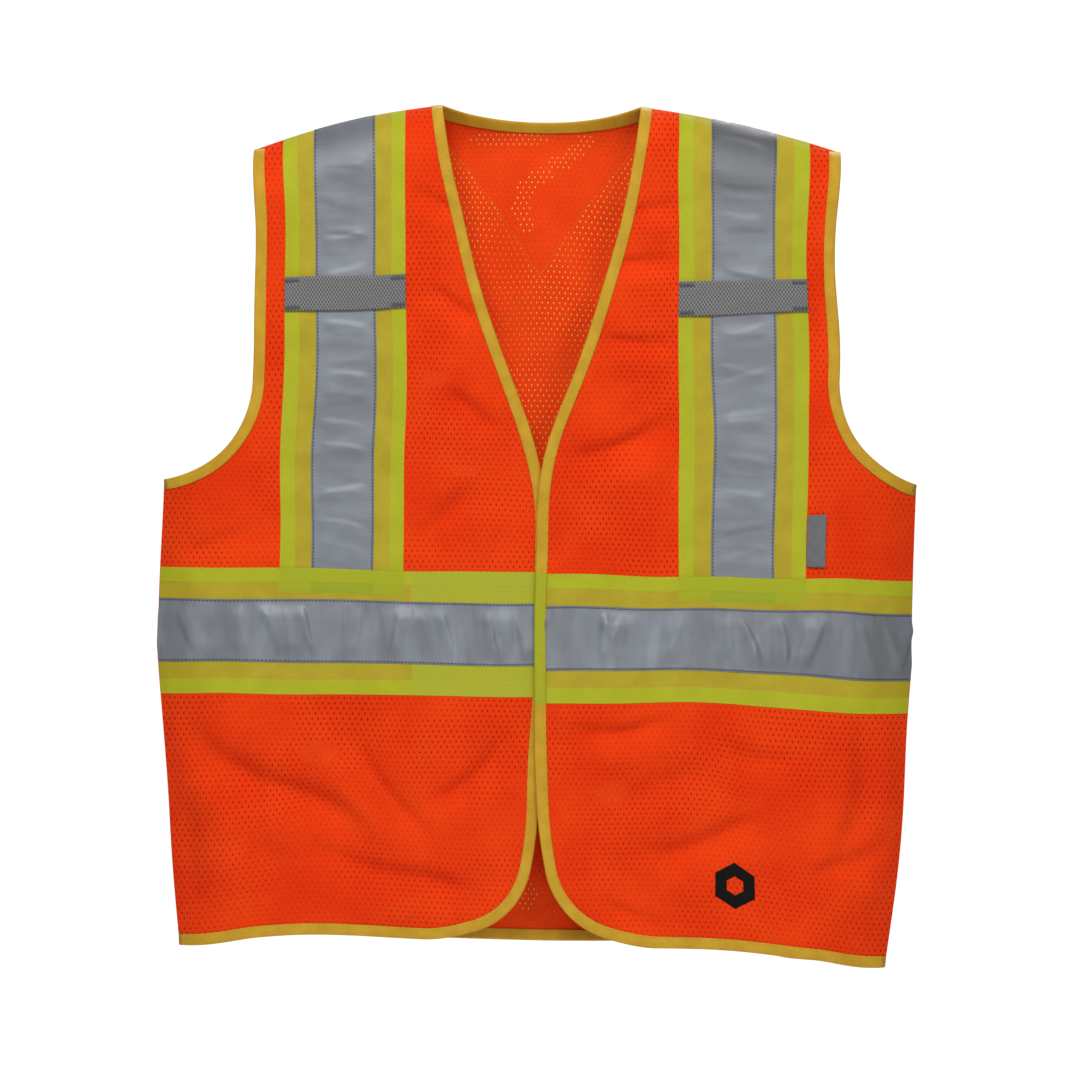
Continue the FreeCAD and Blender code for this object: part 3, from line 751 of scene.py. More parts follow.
def mesh_material(name, panel, outside):
    """Orange knitted mesh with upright eyelets in staggered rows, drawn nearly shut in patches.

    The front's eyelets are partly open, the back's only in the open spots. From outside their rims carry
    painted shade, dark red, for the garment's shaded inside. From inside the back they are painted a lit
    yellow where the crossed tapes lie behind them. On the front's outside and on both sides of the back they
    are painted pale, as lit, in the open spots. The inside is painted a little lighter than the outside, as
    painted light against the shade in the bag.
    """
    g = Graph(name)
    eyelets = hole_field(g)
    patches = g.noise(13.0, 1.0)
    tight = spots(g) if panel == "back" else g.ramp(patches, 0.25, 0.7, 0.45, 0.9)
    field = g.math("DIVIDE", eyelets, g.math("MAXIMUM", tight, 0.02))
    solid = g.ramp(field, 0.85, 1.15, 0.8 if panel == "back" else 0.24, 1.0)
    knit = g.times(g.wave(g.u, 0.00092), g.wave(g.v, 0.0013))
    cloudy = g.noise(18.0, 4.0)
    fine = g.noise(900.0, 2.0)
    if outside:
        tone = g.between(cloudy, (228, 50, 5), (239, 63, 9))
        # painted shade: a dark red on the eyelets' rims, where the patches let it show, for the garment's
        # shaded inside
        shown, through = g.ramp(patches, 0.38, 0.56, 0.15, 1.0), colour(152, 16, 2)
        if panel == "front":
            # painted light: in the open spots the eyelets' rims are painted pale, as lit from behind
            lit = spots(g)
            shown, through = g.math("MAXIMUM", shown, lit), g.mix(lit, through, colour(255, 176, 92))
        depth = g.times(g.ramp(eyelets, 0.65, 1.3, 0.8, 0.0), shown)
        tone = g.mix(depth, tone, through)
    else:
        # the inside is painted a little lighter than the outside: painted light against the shade inside the
        # bag
        tone = g.between(cloudy, (233, 61, 11), (243, 71, 17))
        if panel == "back":
            # painted light: the eyelets over the crossed tapes are painted a lit yellow, for the tapes seen
            # through them
            behind = g.times(g.ramp(eyelets, 0.6, 1.2, 0.85, 0.0), over_tapes(g))
            behind = g.times(behind, g.ramp(patches, 0.34, 0.52, 0.4, 1.0))
            tone = g.mix(behind, tone, colour(255, 196, 84))
    if panel == "back":
        # painted light: in the open spots the back's eyelets are painted pale, as lit, on both sides
        lit = g.times(g.ramp(tight, 0.1, 0.4), g.ramp(eyelets, 0.6, 1.1, 1.0, 0.0))
        tone = g.mix(lit, tone, colour(255, 200, 90))
    tone = g.speckle(tone, fine, 0.1, (250, 84, 24), 0.35, 0.65)
    height = g.plus(g.times(knit, 0.25), g.ramp(eyelets, 0.9, 2.0))
    height = g.plus(height, g.times(fine, 0.5))
    material = g.finish(tone, 0.9, height, 0.0003, Specular_IOR_Level=0.12)
    g.wire(g.shader.inputs["Alpha"], solid)
    return material


TURNED = 0.0118  # width of a tape's turned edge, in metres


def tape_material(name, across, zones=()):
    """Contrast tape: lime at its turned edges, gold where a single layer lies on the orange mesh.

    across gives the socket across the tape and its middle. zones lists (low, high, low, high, colour) where
    other layers lie behind it, in millimetres along u and v.
    """
    g = Graph(name)
    socket = {"u": g.u, "v": g.v}[across[0]]
    centre, half = across[1] * MM, TAPE_HALF * MM
    offset = g.math("ABSOLUTE", g.math("SUBTRACT", socket, centre))
    edge = g.ramp(offset, half - TURNED - 0.0006, half - TURNED + 0.0006)
    cloudy = g.noise(45.0, 4.0)
    fine = g.noise(700.0, 3.0)
    shows = g.times(g.ramp(hole_field(g), 0.6, 2.2, 0.14, 0.0), g.ramp(cloudy, 0.3, 0.7, 0.3, 1.0))
    gold = g.between(cloudy, (168, 147, 28), (180, 162, 38), 0.25, 0.75)
    gold = g.mix(shows, gold, colour(160, 118, 20))
    lime = g.between(cloudy, (166, 168, 20), (174, 177, 28), 0.25, 0.75)
    tone = g.mix(edge, gold, lime)
    for low_u, high_u, low_v, high_v, tint in zones:
        sideways = g.window(g.u, low_u * MM, high_u * MM, 0.0008)
        upright = g.window(g.v, low_v * MM, high_v * MM, 0.0008)
        tone = g.mix(g.times(g.times(sideways, upright), 0.85), tone, tint)
    weave = g.times(g.wave(g.u, 0.0009), g.wave(g.v, 0.0009))
    tone = g.speckle(tone, fine, 0.12, (196, 192, 60))
    height = g.plus(g.times(weave, 0.4), g.times(fine, 0.8))
    height = g.plus(height, g.times(edge, 1.2))
    return g.finish(tone, 0.7, height, 0.00012, Specular_IOR_Level=0.25)


def silver_material(name, across, painted_shade, crinkle=1.2):
    """Glass bead tape: satin grey with stripes of painted shade and painted highlight that stand for its
    puckers, sewn down just inside its edges.

    across gives the socket across the tape and its middle. The third argument is how much painted shade
    darkens it towards the shoulder, or on a level band towards the wearer's left. crinkle is the height of
    its finest folds.
    """
    g = Graph(name)
    socket, along, stretch = (g.u, g.v, (0.25, 1, 1)) if across[0] == "u" else (g.v, g.u, (1, 0.25, 1))
    offset = g.math("ABSOLUTE", g.math("SUBTRACT", socket, across[1] * MM))
    inset_by = g.math("SUBTRACT", SILVER_HALF * MM, offset)
    beads = g.noise(2600.0, 2.0)
    cloudy = g.noise(60.0, 3.0)
    painted_fold_bands = g.noise(42.0, 2.0, stretch)
    folds = g.ramp(g.noise(70.0, 1.0, stretch), 0.4, 0.62)
    tone = g.between(cloudy, (124, 129, 136), (131, 136, 144))
    # painted shade and painted highlight: darker and lighter stripes that stand for the light on its puckers
    tone = g.mix(g.ramp(painted_fold_bands, 0.42, 0.64, 0.0, 0.6), tone, colour(112, 114, 117))
    tone = g.mix(g.ramp(painted_fold_bands, 0.28, 0.4, 0.6, 0.0), tone, colour(144, 148, 158))
    # painted shade: darker towards the shoulder, or on a level band towards the wearer's left, where less
    # light falls
    place_along, low, high = (g.v, -0.13, -0.02) if across[0] == "u" else (g.u, 0.08, 0.3)
    tone = g.mix(g.ramp(place_along, low, high, 0.0, painted_shade), tone, colour(84, 84, 86))
    tone = g.mix(g.ramp(inset_by, 0.0012, 0.0024, 0.55, 0.0), tone, colour(92, 98, 110))
    dashes = g.ramp(g.wave(along, STITCH * MM), -0.5, 0.1)
    seam = g.times(g.window(inset_by, 0.0012, 0.0018, 0.0005), dashes)
    tone = g.mix(g.times(seam, 0.8), tone, colour(66, 70, 80))
    rough = g.ramp(cloudy, 0.3, 0.7, 0.46, 0.54)
    height = g.plus(g.times(beads, 0.5), cloudy)
    height = g.plus(height, g.times(folds, crinkle))
    return g.finish(tone, rough, height, 0.00012, Metallic=0.12)


def binding_material(name, lime_zone):
    """Folded binding tape: gold over the mesh, lime where it covers contrast tape."""
    g = Graph(name)
    cloudy = g.noise(60.0, 3.0)
    fine = g.noise(900.0, 3.0)
    tone = g.between(cloudy, (190, 143, 28), (202, 158, 36))
    if lime_zone:
        low, high = (value * MM for value in lime_zone)
        over = g.window(g.u, low, high, 0.0015)
        tone = g.mix(over, tone, g.mix(cloudy, colour(156, 160, 22), colour(166, 172, 28)))
    rib = g.wave(g.u, 0.00085)
    crown = g.wave(g.v, 0.0011)
    tone = g.speckle(tone, fine, 0.16, (216, 184, 70))
    height = g.plus(g.times(g.times(rib, crown), 0.5), fine)
    return g.finish(tone, 0.7, height, 0.00014, Specular_IOR_Level=0.25)


WEAVE_ACROSS, WEAVE_UP = 2.7, 4.0


def webbing_material():
    """Grey webbing; its light and dark floats follow the weave that is modelled in its mesh."""
    g = Graph("grey_webbing")
    a = g.wave(g.u, WEAVE_ACROSS * MM)
    b = g.wave(g.v, WEAVE_UP * MM)
    weave = g.times(a, b)
    fibre = g.noise(1500.0, 3.0, (1, 3, 1))
    cloudy = g.noise(70.0, 2.0)
    tone = g.mix(g.ramp(weave, -0.5, 0.4), colour(57, 58, 59), colour(128, 128, 126))
    tone = g.speckle(tone, fibre, 0.25, (150, 150, 148))
    tone = g.mix(g.ramp(cloudy, 0.35, 0.7, 0.0, 0.25), tone, colour(96, 96, 98))
    height = g.plus(weave, g.times(fibre, 0.6))
    return g.finish(tone, 0.6, height, 0.0002, Sheen_Weight=0.1)


def grainy_material(name, dark, light, scale, detail, rough, bump, **plain):
    """Thread, pile or ink, whose tone and grain come from one noise."""
    g = Graph(name)
    grain = g.noise(scale, detail)
    return g.finish(g.between(grain, dark, light), rough, grain, bump, **plain)


def thread_material(name, tint):
    """Twisted sewing thread."""
    return grainy_material(name, tint, [min(255, 1.18 * t) for t in tint], 1800.0, 2.0, 0.5, 0.0001)


def plush_material(name, tint, scale):
    """Hooks or loops: a dense field of tiny pile."""
    return grainy_material(name, [0.6 * t for t in tint], tint, scale, 3.0, 0.8, 0.0006, Sheen_Weight=0.3)


def label_material():
    """Plain woven label, grey, with no wording."""
    g = Graph("label_cloth")
    weave = g.times(g.wave(g.u, 0.0005), g.wave(g.v, 0.0005))
    cloudy = g.noise(120.0, 3.0)
    tone = g.between(cloudy, (104, 106, 107), (114, 116, 117))
    tone = g.mix(g.ramp(weave, -0.6, 0.6, 0.0, 0.18), tone, colour(124, 127, 132))
    return g.finish(tone, 0.45, weave, 0.0001, Sheen_Weight=0.1)


MESH = {
    (panel, layer): mesh_material(f"orange_{word}_{layer}", panel, layer == "outside")
    for panel, word in (("front", "mesh"), ("back", "back")) for layer in ("outside", "inside")
}
WAIST_MID = (WAIST_TOP + WAIST_BOTTOM) / 2
SILVER = {
    "left": silver_material("silver_left", ("u", BRACE), 0.75),
    "right": silver_material("silver_right", ("u", -BRACE), 0.45),
    "waist": silver_material("silver_waist", ("v", (SILVER_BOTTOM + SILVER_TOP) / 2), 0.3, 4.5),
    "cross": silver_material("silver_cross", ("u", 0), 0.45),
}
BRACE_TAPE = {sign: tape_material(f"brace_tape_{sign}", ("u", sign * BRACE)) for sign in (1, -1)}
CROSS_TAPE = tape_material("cross_tape", ("u", 0))
OVER_BRACE, OVER_SILVER, OVER_HEM = colour(158, 167, 24), colour(146, 161, 28), colour(168, 171, 42)
UNDER_END = -104  # where the turned-in end of the under front's waist band stops
WAIST_TAPE = {
    "over": tape_material("waist_tape_over", ("v", WAIST_MID), [
        (BRACE_INNER, BRACE_OUTER, BRACE_FOOT, WAIST_TOP, OVER_BRACE),
        (BRACE - SILVER_HALF, BRACE + SILVER_HALF, BRACE_FOOT, WAIST_TOP - TURNED / MM, OVER_SILVER),
    ]),
    "under": tape_material("waist_tape_under", ("v", WAIST_MID), [
        (-BRACE_OUTER, -BRACE_INNER, BRACE_FOOT, WAIST_TOP, OVER_BRACE),
        (-BRACE - SILVER_HALF, SILVER_HALF - BRACE, BRACE_FOOT, WAIST_TOP - TURNED / MM, OVER_SILVER),
        (UNDER_END, 0, WAIST_BOTTOM, WAIST_TOP, OVER_HEM),
    ]),
    "back": tape_material("waist_tape_back", ("v", WAIST_MID)),
}
BINDING_TAPE = binding_material("binding_tape", None)
WEBBING = webbing_material()
GREY_THREAD = thread_material("grey_thread", (58, 61, 68))
LIME_THREAD = thread_material("lime_thread", (176, 182, 52))
GOLD_THREAD = thread_material("gold_thread", (196, 156, 42))
TACK_THREAD = thread_material("tack_thread", (88, 89, 92))
ORANGE_THREAD = thread_material("orange_thread", (226, 84, 34))
HOOKS = plush_material("hook_pile", (190, 196, 84), 1800.0)
LOOPS = plush_material("loop_pile", (196, 200, 92), 900.0)
LABEL = label_material()
INK = grainy_material(
    "black_print", (10, 9, 9), (20, 18, 17), 300.0, 3.0, 0.85, 0.0001, Specular_IOR_Level=0.15,
)

# the two sewn tapes: slot, thickness and lattice
TAPES = {
    "tape": ("contrast_tape", TAPE_THICK, TAPE_STEP),
    "silver": ("reflective_tape", SILVER_THICK, SILVER_STEP),
}
# their stitch rows: half the tape's width, distance from its edge, height, thread and slot
SEAMS = {
    "silver": (SILVER_HALF, SILVER_SEAM, SILVER_LIFT, GREY_THREAD, "tack_thread"),
    "tape": (TAPE_HALF, TAPE_SEAM, TAPE_LIFT, LIME_THREAD, "contrast_tape"),
}
SIDES = {"left": ("over", 1), "right": ("under", -1)}


def on(sign, points):
    """A path drawn for the wearer's left, put on the side asked for."""
    return np.asarray(points) if sign > 0 else mirrored(points)


# how far the closer points reach from the fold, towards the middle and towards the side
BEND_IN, BEND_OUT = 14, 4
BEND_MARGIN = 3


def fold_zone(sign):
    """The stretch of x round a front's fold, where the cloth's points lie closer."""
    reach_in, reach_out = BEND_IN + BEND_MARGIN, BEND_OUT + BEND_MARGIN
    return sorted((sign * (FOLD - reach_in), sign * (FOLD + reach_out)))


def blend_flap(piece, name):
    """Fabric that crosses a front's fold: its placing is baked into its mesh. The front's joint and the
    fold's place are looked up and not used further.
    """
    joint = next(j for j in frame["joints"] if j["child"] == f"flap_{name}")
    fold = Vector(joint["pos_m"])
    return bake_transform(piece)


def build_panels():
    outline = back_outline()
    back = cloth(
        "back_mesh", outline, "back", MESH["back", "outside"], "mesh", "vest", thick=MESH_THICK,
        lining=MESH["back", "inside"],
    )
    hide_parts("back_panel")
    for name, (panel, sign) in SIDES.items():
        outline = on(sign, front_outline())
        front = cloth(
            f"front_mesh_{name}", outline, panel, MESH["front", "outside"], "mesh", None, thick=MESH_THICK,
            lining=MESH["front", "inside"], crowded=fold_zone(sign),
        )
        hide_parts(f"front_panel_{name}", f"front_flap_{name}")
        blend_flap(front, name)


# ---- Tapes -----------------------------------------------------------------------------------------------
def lay_tape(kind, name, outline, panel, material, ridden, lift, replaced, rests_on, slant=None, **more):
    """Sews a contrast or reflective tape on a panel.

    slant, the width of a tape that is cut across a slant, is not used.
    """
    slot, thick, step = TAPES[kind]
    made = cloth(name, outline, panel, material, slot, ridden, lift, thick, step, **more)
    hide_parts(*replaced)
    return made


def brace_top(x):
    """The upper end of a brace."""
    return shoulder(x) - END_GAP


def brace_outline(low, high):
    """Outline of an upright tape from the waist band to the shoulder."""
    x = np.linspace(low, high, max(2, math.ceil((high - low) / CURVE_STEP)))
    crest = np.stack([x, brace_top(x)], axis=1)
    return path(
        line((low, BRACE_FOOT), (high, BRACE_FOOT)), line((high, BRACE_FOOT), crest[-1]), crest[::-1],
        line(crest[0], (low, BRACE_FOOT)),
    )[:-1]


def puckers(at, across, half, seed, spacing, height, slant=0.35, widest=6.0):
    """Small folds that lean across a sewn strip, steep on one side, dying at its seams."""
    rng = np.random.default_rng(seed)
    low, high = float(at.min()), float(at.max())
    count = max(3, int((high - low) / spacing))
    total = np.zeros_like(at)
    for k in range(count):
        centre = low + (high - low) * (k + rng.uniform(-0.4, 1.4)) / count
        lean, size, width = slant * rng.uniform(-1, 1), rng.uniform(0.3, 1.0), rng.uniform(2.5, widest)
        fan = 0.5 + 0.5 * rng.choice((-1, 1)) * across / half
        shift = at - centre - lean * across - 1.2 * np.sin(across / 10 + 6 * rng.random())
        steep = rng.choice((-1, 1))
        wide = width * (0.6 + 0.6 * fan) * np.where(shift * steep > 0, 0.5, 1.9)
        total += size * (0.3 + 0.7 * fan) * np.exp(-((shift / wide) ** 2))
    return height * total * smooth(half - 2.8 - np.abs(across), 0, 13)


def build_braces():
    for name, (panel, sign) in SIDES.items():
        bounds = sorted((sign * BRACE_INNER, sign * BRACE_OUTER))
        lime = lay_tape(
            "tape", f"brace_tape_{name}", brace_outline(*bounds), panel, BRACE_TAPE[sign], "vest", TAPE_LIFT,
            [f"brace_contrast_{name}"], [f"front_mesh_{name}"],
        )

        def silver_lift(x, z):
            folds = puckers(z, x - sign * BRACE, SILVER_HALF, seed=21 + sign, spacing=17, height=1.9)
            return SILVER_LIFT + folds * smooth(z, WAIST_TOP, WAIST_TOP + 12)

        outline = brace_outline(sign * BRACE - SILVER_HALF, sign * BRACE + SILVER_HALF)
        lay_tape(
            "silver", f"brace_silver_{name}", outline, panel, SILVER[name], "vest", silver_lift,
            [f"brace_reflective_{name}"], [lime.name],
        )
        for kind, (half, seam, lift, material, slot) in SEAMS.items():
            middles = [sign * BRACE + offset for offset in (-half + seam, half - seam)]
            rows = [
                (line((x, float(brace_top(x))), (x, WAIST_TOP)), lift + THREAD_LIFT, STITCH) for x in middles
            ]
            threads(f"brace_{kind}_stitching_{name}", rows, panel, material, slot, "vest")


def over_foot(inside, z):
    """How much the foot of a tape raises the waist tape that covers it, where inside is 1."""
    return FOOT_RISE * inside * smooth(z, BRACE_FOOT - 3, BRACE_FOOT + 2)


def over_brace(x, z):
    """How much the foot of a brace raises the front's waist tape."""
    return over_foot(window(np.abs(x), BRACE_INNER, BRACE_OUTER, 4), z)


def band_outline(x_low, x_high, bottom, top):
    """Outline of a level band; an end of None follows the side seam on that side."""
    def end(fixed, sign):
        heights = np.linspace(bottom, top, 24)
        reach = sign * (side(heights) - SIDE_GAP) if fixed is None else 0 * heights + fixed
        return np.stack([reach, heights], axis=1)
    left, right = end(x_low, -1), end(x_high, 1)
    return path(line(left[0], right[0]), right, line(right[-1], left[-1]), left[::-1])[:-1]


def build_waist():
    for name, (panel, sign) in (SIDES | {"back": ("back", 0)}).items():
        if panel == "back":
            ends, ridden, crowded, mesh, raised = (None, None), "vest", None, "back_mesh", over_cross
            seed, tall, joined = 40, 3.4, ("waist",)
        else:
            inner = sign * (BINDING - LAP - 0.6)
            ends = (inner, None) if sign > 0 else (None, inner)
            ridden, crowded, mesh, raised = None, fold_zone(sign), f"front_mesh_{name}", over_brace
            seed, tall, joined = 31 + sign, 4.4, ("waist", "flap")

        def silver_lift(x, z):
            return SILVER_LIFT + puckers(
                x, z - WAIST_MID, SILVER_HALF, seed, spacing=19, height=tall, slant=0.5, widest=9.0
            )

        lime = lay_tape(
            "tape", f"waist_tape_{name}", band_outline(*ends, WAIST_BOTTOM, WAIST_TOP), panel,
            WAIST_TAPE[panel], ridden, lambda x, z: TAPE_LIFT + raised(x, z),
            [f"{word}_contrast_{name}" for word in joined], [mesh], crowded=crowded,
        )
        silver = lay_tape(
            "silver", f"waist_silver_{name}", band_outline(*ends, SILVER_BOTTOM, SILVER_TOP), panel,
            SILVER["waist"], ridden, silver_lift,
            [f"{word}_reflective_{name}" for word in joined], [lime.name], crowded=crowded,
        )
        sewn = waist_stitches(name, panel, ends, ridden, raised)
        if ridden is None:
            for piece in (lime, silver, *sewn):
                blend_flap(piece, name)


def waist_stitches(name, panel, ends, ridden, raised):
    """The stitch rows of a waist band: grey beside the silver's edges, lime at the tape's edges."""
    made = []
    for kind, low, high in (("silver", SILVER_BOTTOM, SILVER_TOP), ("tape", WAIST_BOTTOM, WAIST_TOP)):
        _, seam, lift, material, slot = SEAMS[kind]
        rows = []
        for z in (low + seam, high - seam):
            start, end = (sign * (side(z) - 1.5) if e is None else e for e, sign in zip(ends, (-1, 1)))

            def height(x, z, base=lift):
                return base + THREAD_LIFT + raised(x, z)

            rows.append((line((start, z), (end, z)), height, STITCH))
        made.append(threads(f"waist_{kind}_stitching_{name}", rows, panel, material, slot, ridden))
    return made


def cross_centre(z, sign):
    """Middle of a back cross tape at a height; sign is the shoulder that it starts from."""
    return sign * (BRACE + CROSS_SLOPE * z)


CROSS_LONG = math.hypot(1, CROSS_SLOPE)


def cross_outline(sign, half):
    """Outline of a slanting tape from a shoulder to the waist band."""
    wide = half * CROSS_LONG

    def end(offset):
        z = 0.0
        for _ in range(6):  # it settles on the shoulder line
            z = float(shoulder(cross_centre(z, sign) + offset)) - END_GAP
        return cross_centre(z, sign) + offset, z
    left, right = end(-wide), end(wide)
    crest = shoulder_path(right[0], left[0]) - (0, END_GAP)
    foot = cross_centre(BRACE_FOOT, sign)
    return path(
        line((foot - wide, BRACE_FOOT), (foot + wide, BRACE_FOOT)), line((foot + wide, BRACE_FOOT), right),
        crest, line(left, (foot - wide, BRACE_FOOT)),
    )[:-1]


def cross_offset(x, z, sign):
    """Distance across a back cross tape from its middle line."""
    return (x - cross_centre(z, sign)) / CROSS_LONG


def over_cross(x, z):
    """How much the feet of the cross raise the back's waist tape."""
    near = [window(cross_offset(x, z, sign), -TAPE_HALF, TAPE_HALF, 4) for sign in (1, -1)]
    return over_foot(np.maximum(*near), z)


STITCHES_TOP = -16.0  # where the crossed tapes' stitch rows begin, or 3 mm below the shoulder line if lower


def build_cross():
    for name, (_, sign) in SIDES.items():
        def base(x, z):
            crossing = window(cross_offset(x, z, 1), -TAPE_HALF, TAPE_HALF, 6)
            return BAND_RISE * crossing if sign < 0 else 0 * crossing

        def slanted(x, z):
            along = (z + CROSS_SLOPE * (x - cross_centre(0, sign)) * sign) / CROSS_LONG
            return flat_uv(cross_offset(x, z, sign), along)

        def silver_lift(x, z):
            folds = puckers(z, cross_offset(x, z, sign), SILVER_HALF, seed=51, spacing=18, height=2.0)
            crossing = window(cross_offset(x, z, -sign), -TAPE_HALF, TAPE_HALF, 14)
            return SILVER_LIFT + base(x, z) + folds * smooth(z, WAIST_TOP, WAIST_TOP + 12) * (1 - crossing)

        lime = lay_tape(
            "tape", f"back_cross_tape_{name}", cross_outline(sign, TAPE_HALF), "back", CROSS_TAPE,
            "vest", lambda x, z: TAPE_LIFT + base(x, z), [f"back_cross_contrast_{name}"], ["back_mesh"],
            2 * TAPE_HALF, uv=slanted,
        )
        lay_tape(
            "silver", f"back_cross_silver_{name}", cross_outline(sign, SILVER_HALF), "back", SILVER["cross"],
            "vest", silver_lift, [f"back_cross_reflective_{name}"], [lime.name], 2 * SILVER_HALF, uv=slanted,
        )
        for kind, (half, seam, lift, material, slot) in SEAMS.items():
            rows = []
            for edge in (seam - half, half - seam):
                x0, x1 = (cross_centre(z, sign) + edge * CROSS_LONG for z in (STITCHES_TOP, WAIST_TOP))
                start = (x0, min(STITCHES_TOP, float(shoulder(x0)) - 3))

                def height(x, z, lift=lift):
                    return lift + THREAD_LIFT + base(x, z)

                rows.append((line(start, (x1, WAIST_TOP)), height, STITCH))
            threads(f"back_cross_{kind}_stitching_{name}", rows, "back", material, slot, "vest")
        # the tape's rows, the last ones made, also show inside
        inside = [(points, -0.3, STITCH) for points, _, _ in rows]
        threads(f"back_cross_inside_stitching_{name}", inside, "back", GOLD_THREAD, slot, "vest", tall=-0.3)


# ---- Bindings --------------------------------------------------------------------------------------------
def bind(name, edge, panel, ridden, replaced, lime_zone=None):
    """A binding folded over a cloth edge, and its stitches."""
    material = BINDING_TAPE if lime_zone is None else binding_material(f"{name}_tape", lime_zone)
    made = folded_strip(name, edge, panel, material, ridden)
    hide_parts(*replaced)
    row = inset(spaced(edge, CURVE_STEP), BINDING - BINDING_SEAM)
    rows = [(row, lambda x, z: BINDING_CROWN + padding(z, panel), STITCH)]
    return made, threads(f"{name}_stitching", rows, panel, GOLD_THREAD, "binding", ridden, length=2.0)


def build_bindings():
    edge = front_edge()
    down = np.r_[0, np.cumsum(np.hypot(*np.diff(edge, axis=0).T))]
    straight = np.abs(edge[:, 0] + LAP) < 0.01
    zone = [float(np.interp(-z, -edge[straight, 1], down[straight])) for z in (WAIST_TOP, WAIST_BOTTOM)]
    zones = {1: zone, -1: [down[-1] - z for z in zone[::-1]]}
    for name, (panel, sign) in SIDES.items():
        replaced = (f"front_edge_binding_{name}", f"hem_binding_{name}")
        for piece in bind(f"front_binding_{name}", on(sign, edge), panel, None, replaced, zones[sign]):
            blend_flap(piece, name)
        for half, side_panel in (("front", panel), ("back", "back")):
            hole = f"armhole_binding_{half}_{name}"
            bind(hole, on(sign, armhole()), side_panel, "vest", [f"armhole_binding_{name}"])
    bind("neck_binding_back", back_neck(), "back", "vest", ["neck_binding"])
    bind("hem_binding_rear", line((-HEM_HALF, HEM), (HEM_HALF, HEM)), "back", "vest", ["hem_binding_back"])


# ---- Seams inside the bag --------------------------------------------------------------------------------
def build_seams():
    """The allowances turned in along the shoulder and side seams, overlocked at their raw edges."""
    shoulder_rim = shoulder_path(ARMHOLE_HALF - BINDING, NECK_HALF + BINDING)
    side_rim = path(
        line((HEM_HALF + 0.4, HEM + BINDING), (CHEST, TAPER_START)),
        line((CHEST, TAPER_START), (CHEST, UNDERARM - 14)),
    )
    half_thick = np.array((0, 0.45, 0))
    shares = (0.06, 0.4, 0.75, 1.0)  # the allowance's rows of points, from its root to its raw edge
    for name, (_, sign) in SIDES.items():
        for kind, rim in (("shoulder", shoulder_rim), ("side", side_rim)):
            rim = spaced(on(sign, rim), CURVE_STEP)
            x, z = rim.T
            shift = hang(x, z, "back")
            deep = inset(rim, SEAM_ALLOWANCE).T
            root = np.stack([x + shift[0], 0 * x, z + shift[1]], axis=1)
            tip = np.stack([deep[0] + shift[0], 1.2 * swell(x, z, 60, 60), deep[1] + shift[1]], axis=1)
            points = np.concatenate([root + (tip - root) * share for share in shares])
            faces = grid_faces(len(shares), len(rim))
            points, faces = shell(points - half_thick, points + half_thick, faces)
            uv = np.concatenate([flat_uv(x, z)] * 2 * len(shares))
            seam = new_object(
                f"{kind}_seam_allowance_{name}", points, faces, MESH["front", "outside"], uv, "vest", "mesh"
            )
            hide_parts(f"{kind}_seam_{name}")
            length = float(np.hypot(*np.diff(rim, axis=0).T).sum()) * MM
            overlock(f"{kind}_overlock_{name}", root, tip)


def overlock(name, root, tip):
    """Thread that zigzags over the raw edge of a seam allowance."""
    points = []
    count = len(root)
    for t in np.linspace(0, count - 1.001, 2 * count):
        i = int(t)
        a = root[i] + (root[i + 1] - root[i]) * (t - i)
        b = tip[i] + (tip[i + 1] - tip[i]) * (t - i)
        share = 0.55 if len(points) % 2 else 1.06
        points.append(a + (b - a) * share + (0, -0.7 if len(points) % 4 < 2 else 0.7, 0))
    curve = bpy.data.curves.new(name, "CURVE")
    curve.dimensions = "3D"
    curve.bevel_depth = 0.00028
    curve.bevel_resolution = 0
    spline = curve.splines.new("POLY")
    spline.points.add(len(points) - 1)
    for target, point in zip(spline.points, points):
        target.co = (*(point * MM), 1)
    curve.materials.append(ORANGE_THREAD)
    made = linked(name, curve)
    bpy.context.view_layer.update()
    mesh = bpy.data.meshes.new_from_object(made)
    bpy.data.objects.remove(made)
    made = linked(name, mesh)
    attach(made, "vest")


# ---- Mic tabs --------------------------------------------------------------------------------------------
TAB_TILT = 0.028  # rise per run towards the wearer's left
TAB_SHIFT = {"left": -2.2, "right": 2.0}  # how much higher than its node each tab hangs
TAB_STEP = 0.5
TAB_THICK = 1.35
TACK_MIDDLE, TACK_HALF = 6.4, 5.6  # a tack's middle from the tab's end, and half its width
TACK_TOP, TACK_FOOT = 0.7, 5.3  # its two rims from the tab's long edge
TACK_PITCH, TACK_LONG = 0.56, 4.6  # from one thread of a tack to the next, and a thread's length
TACK_LIFT = SILVER_LIFT + 1.85


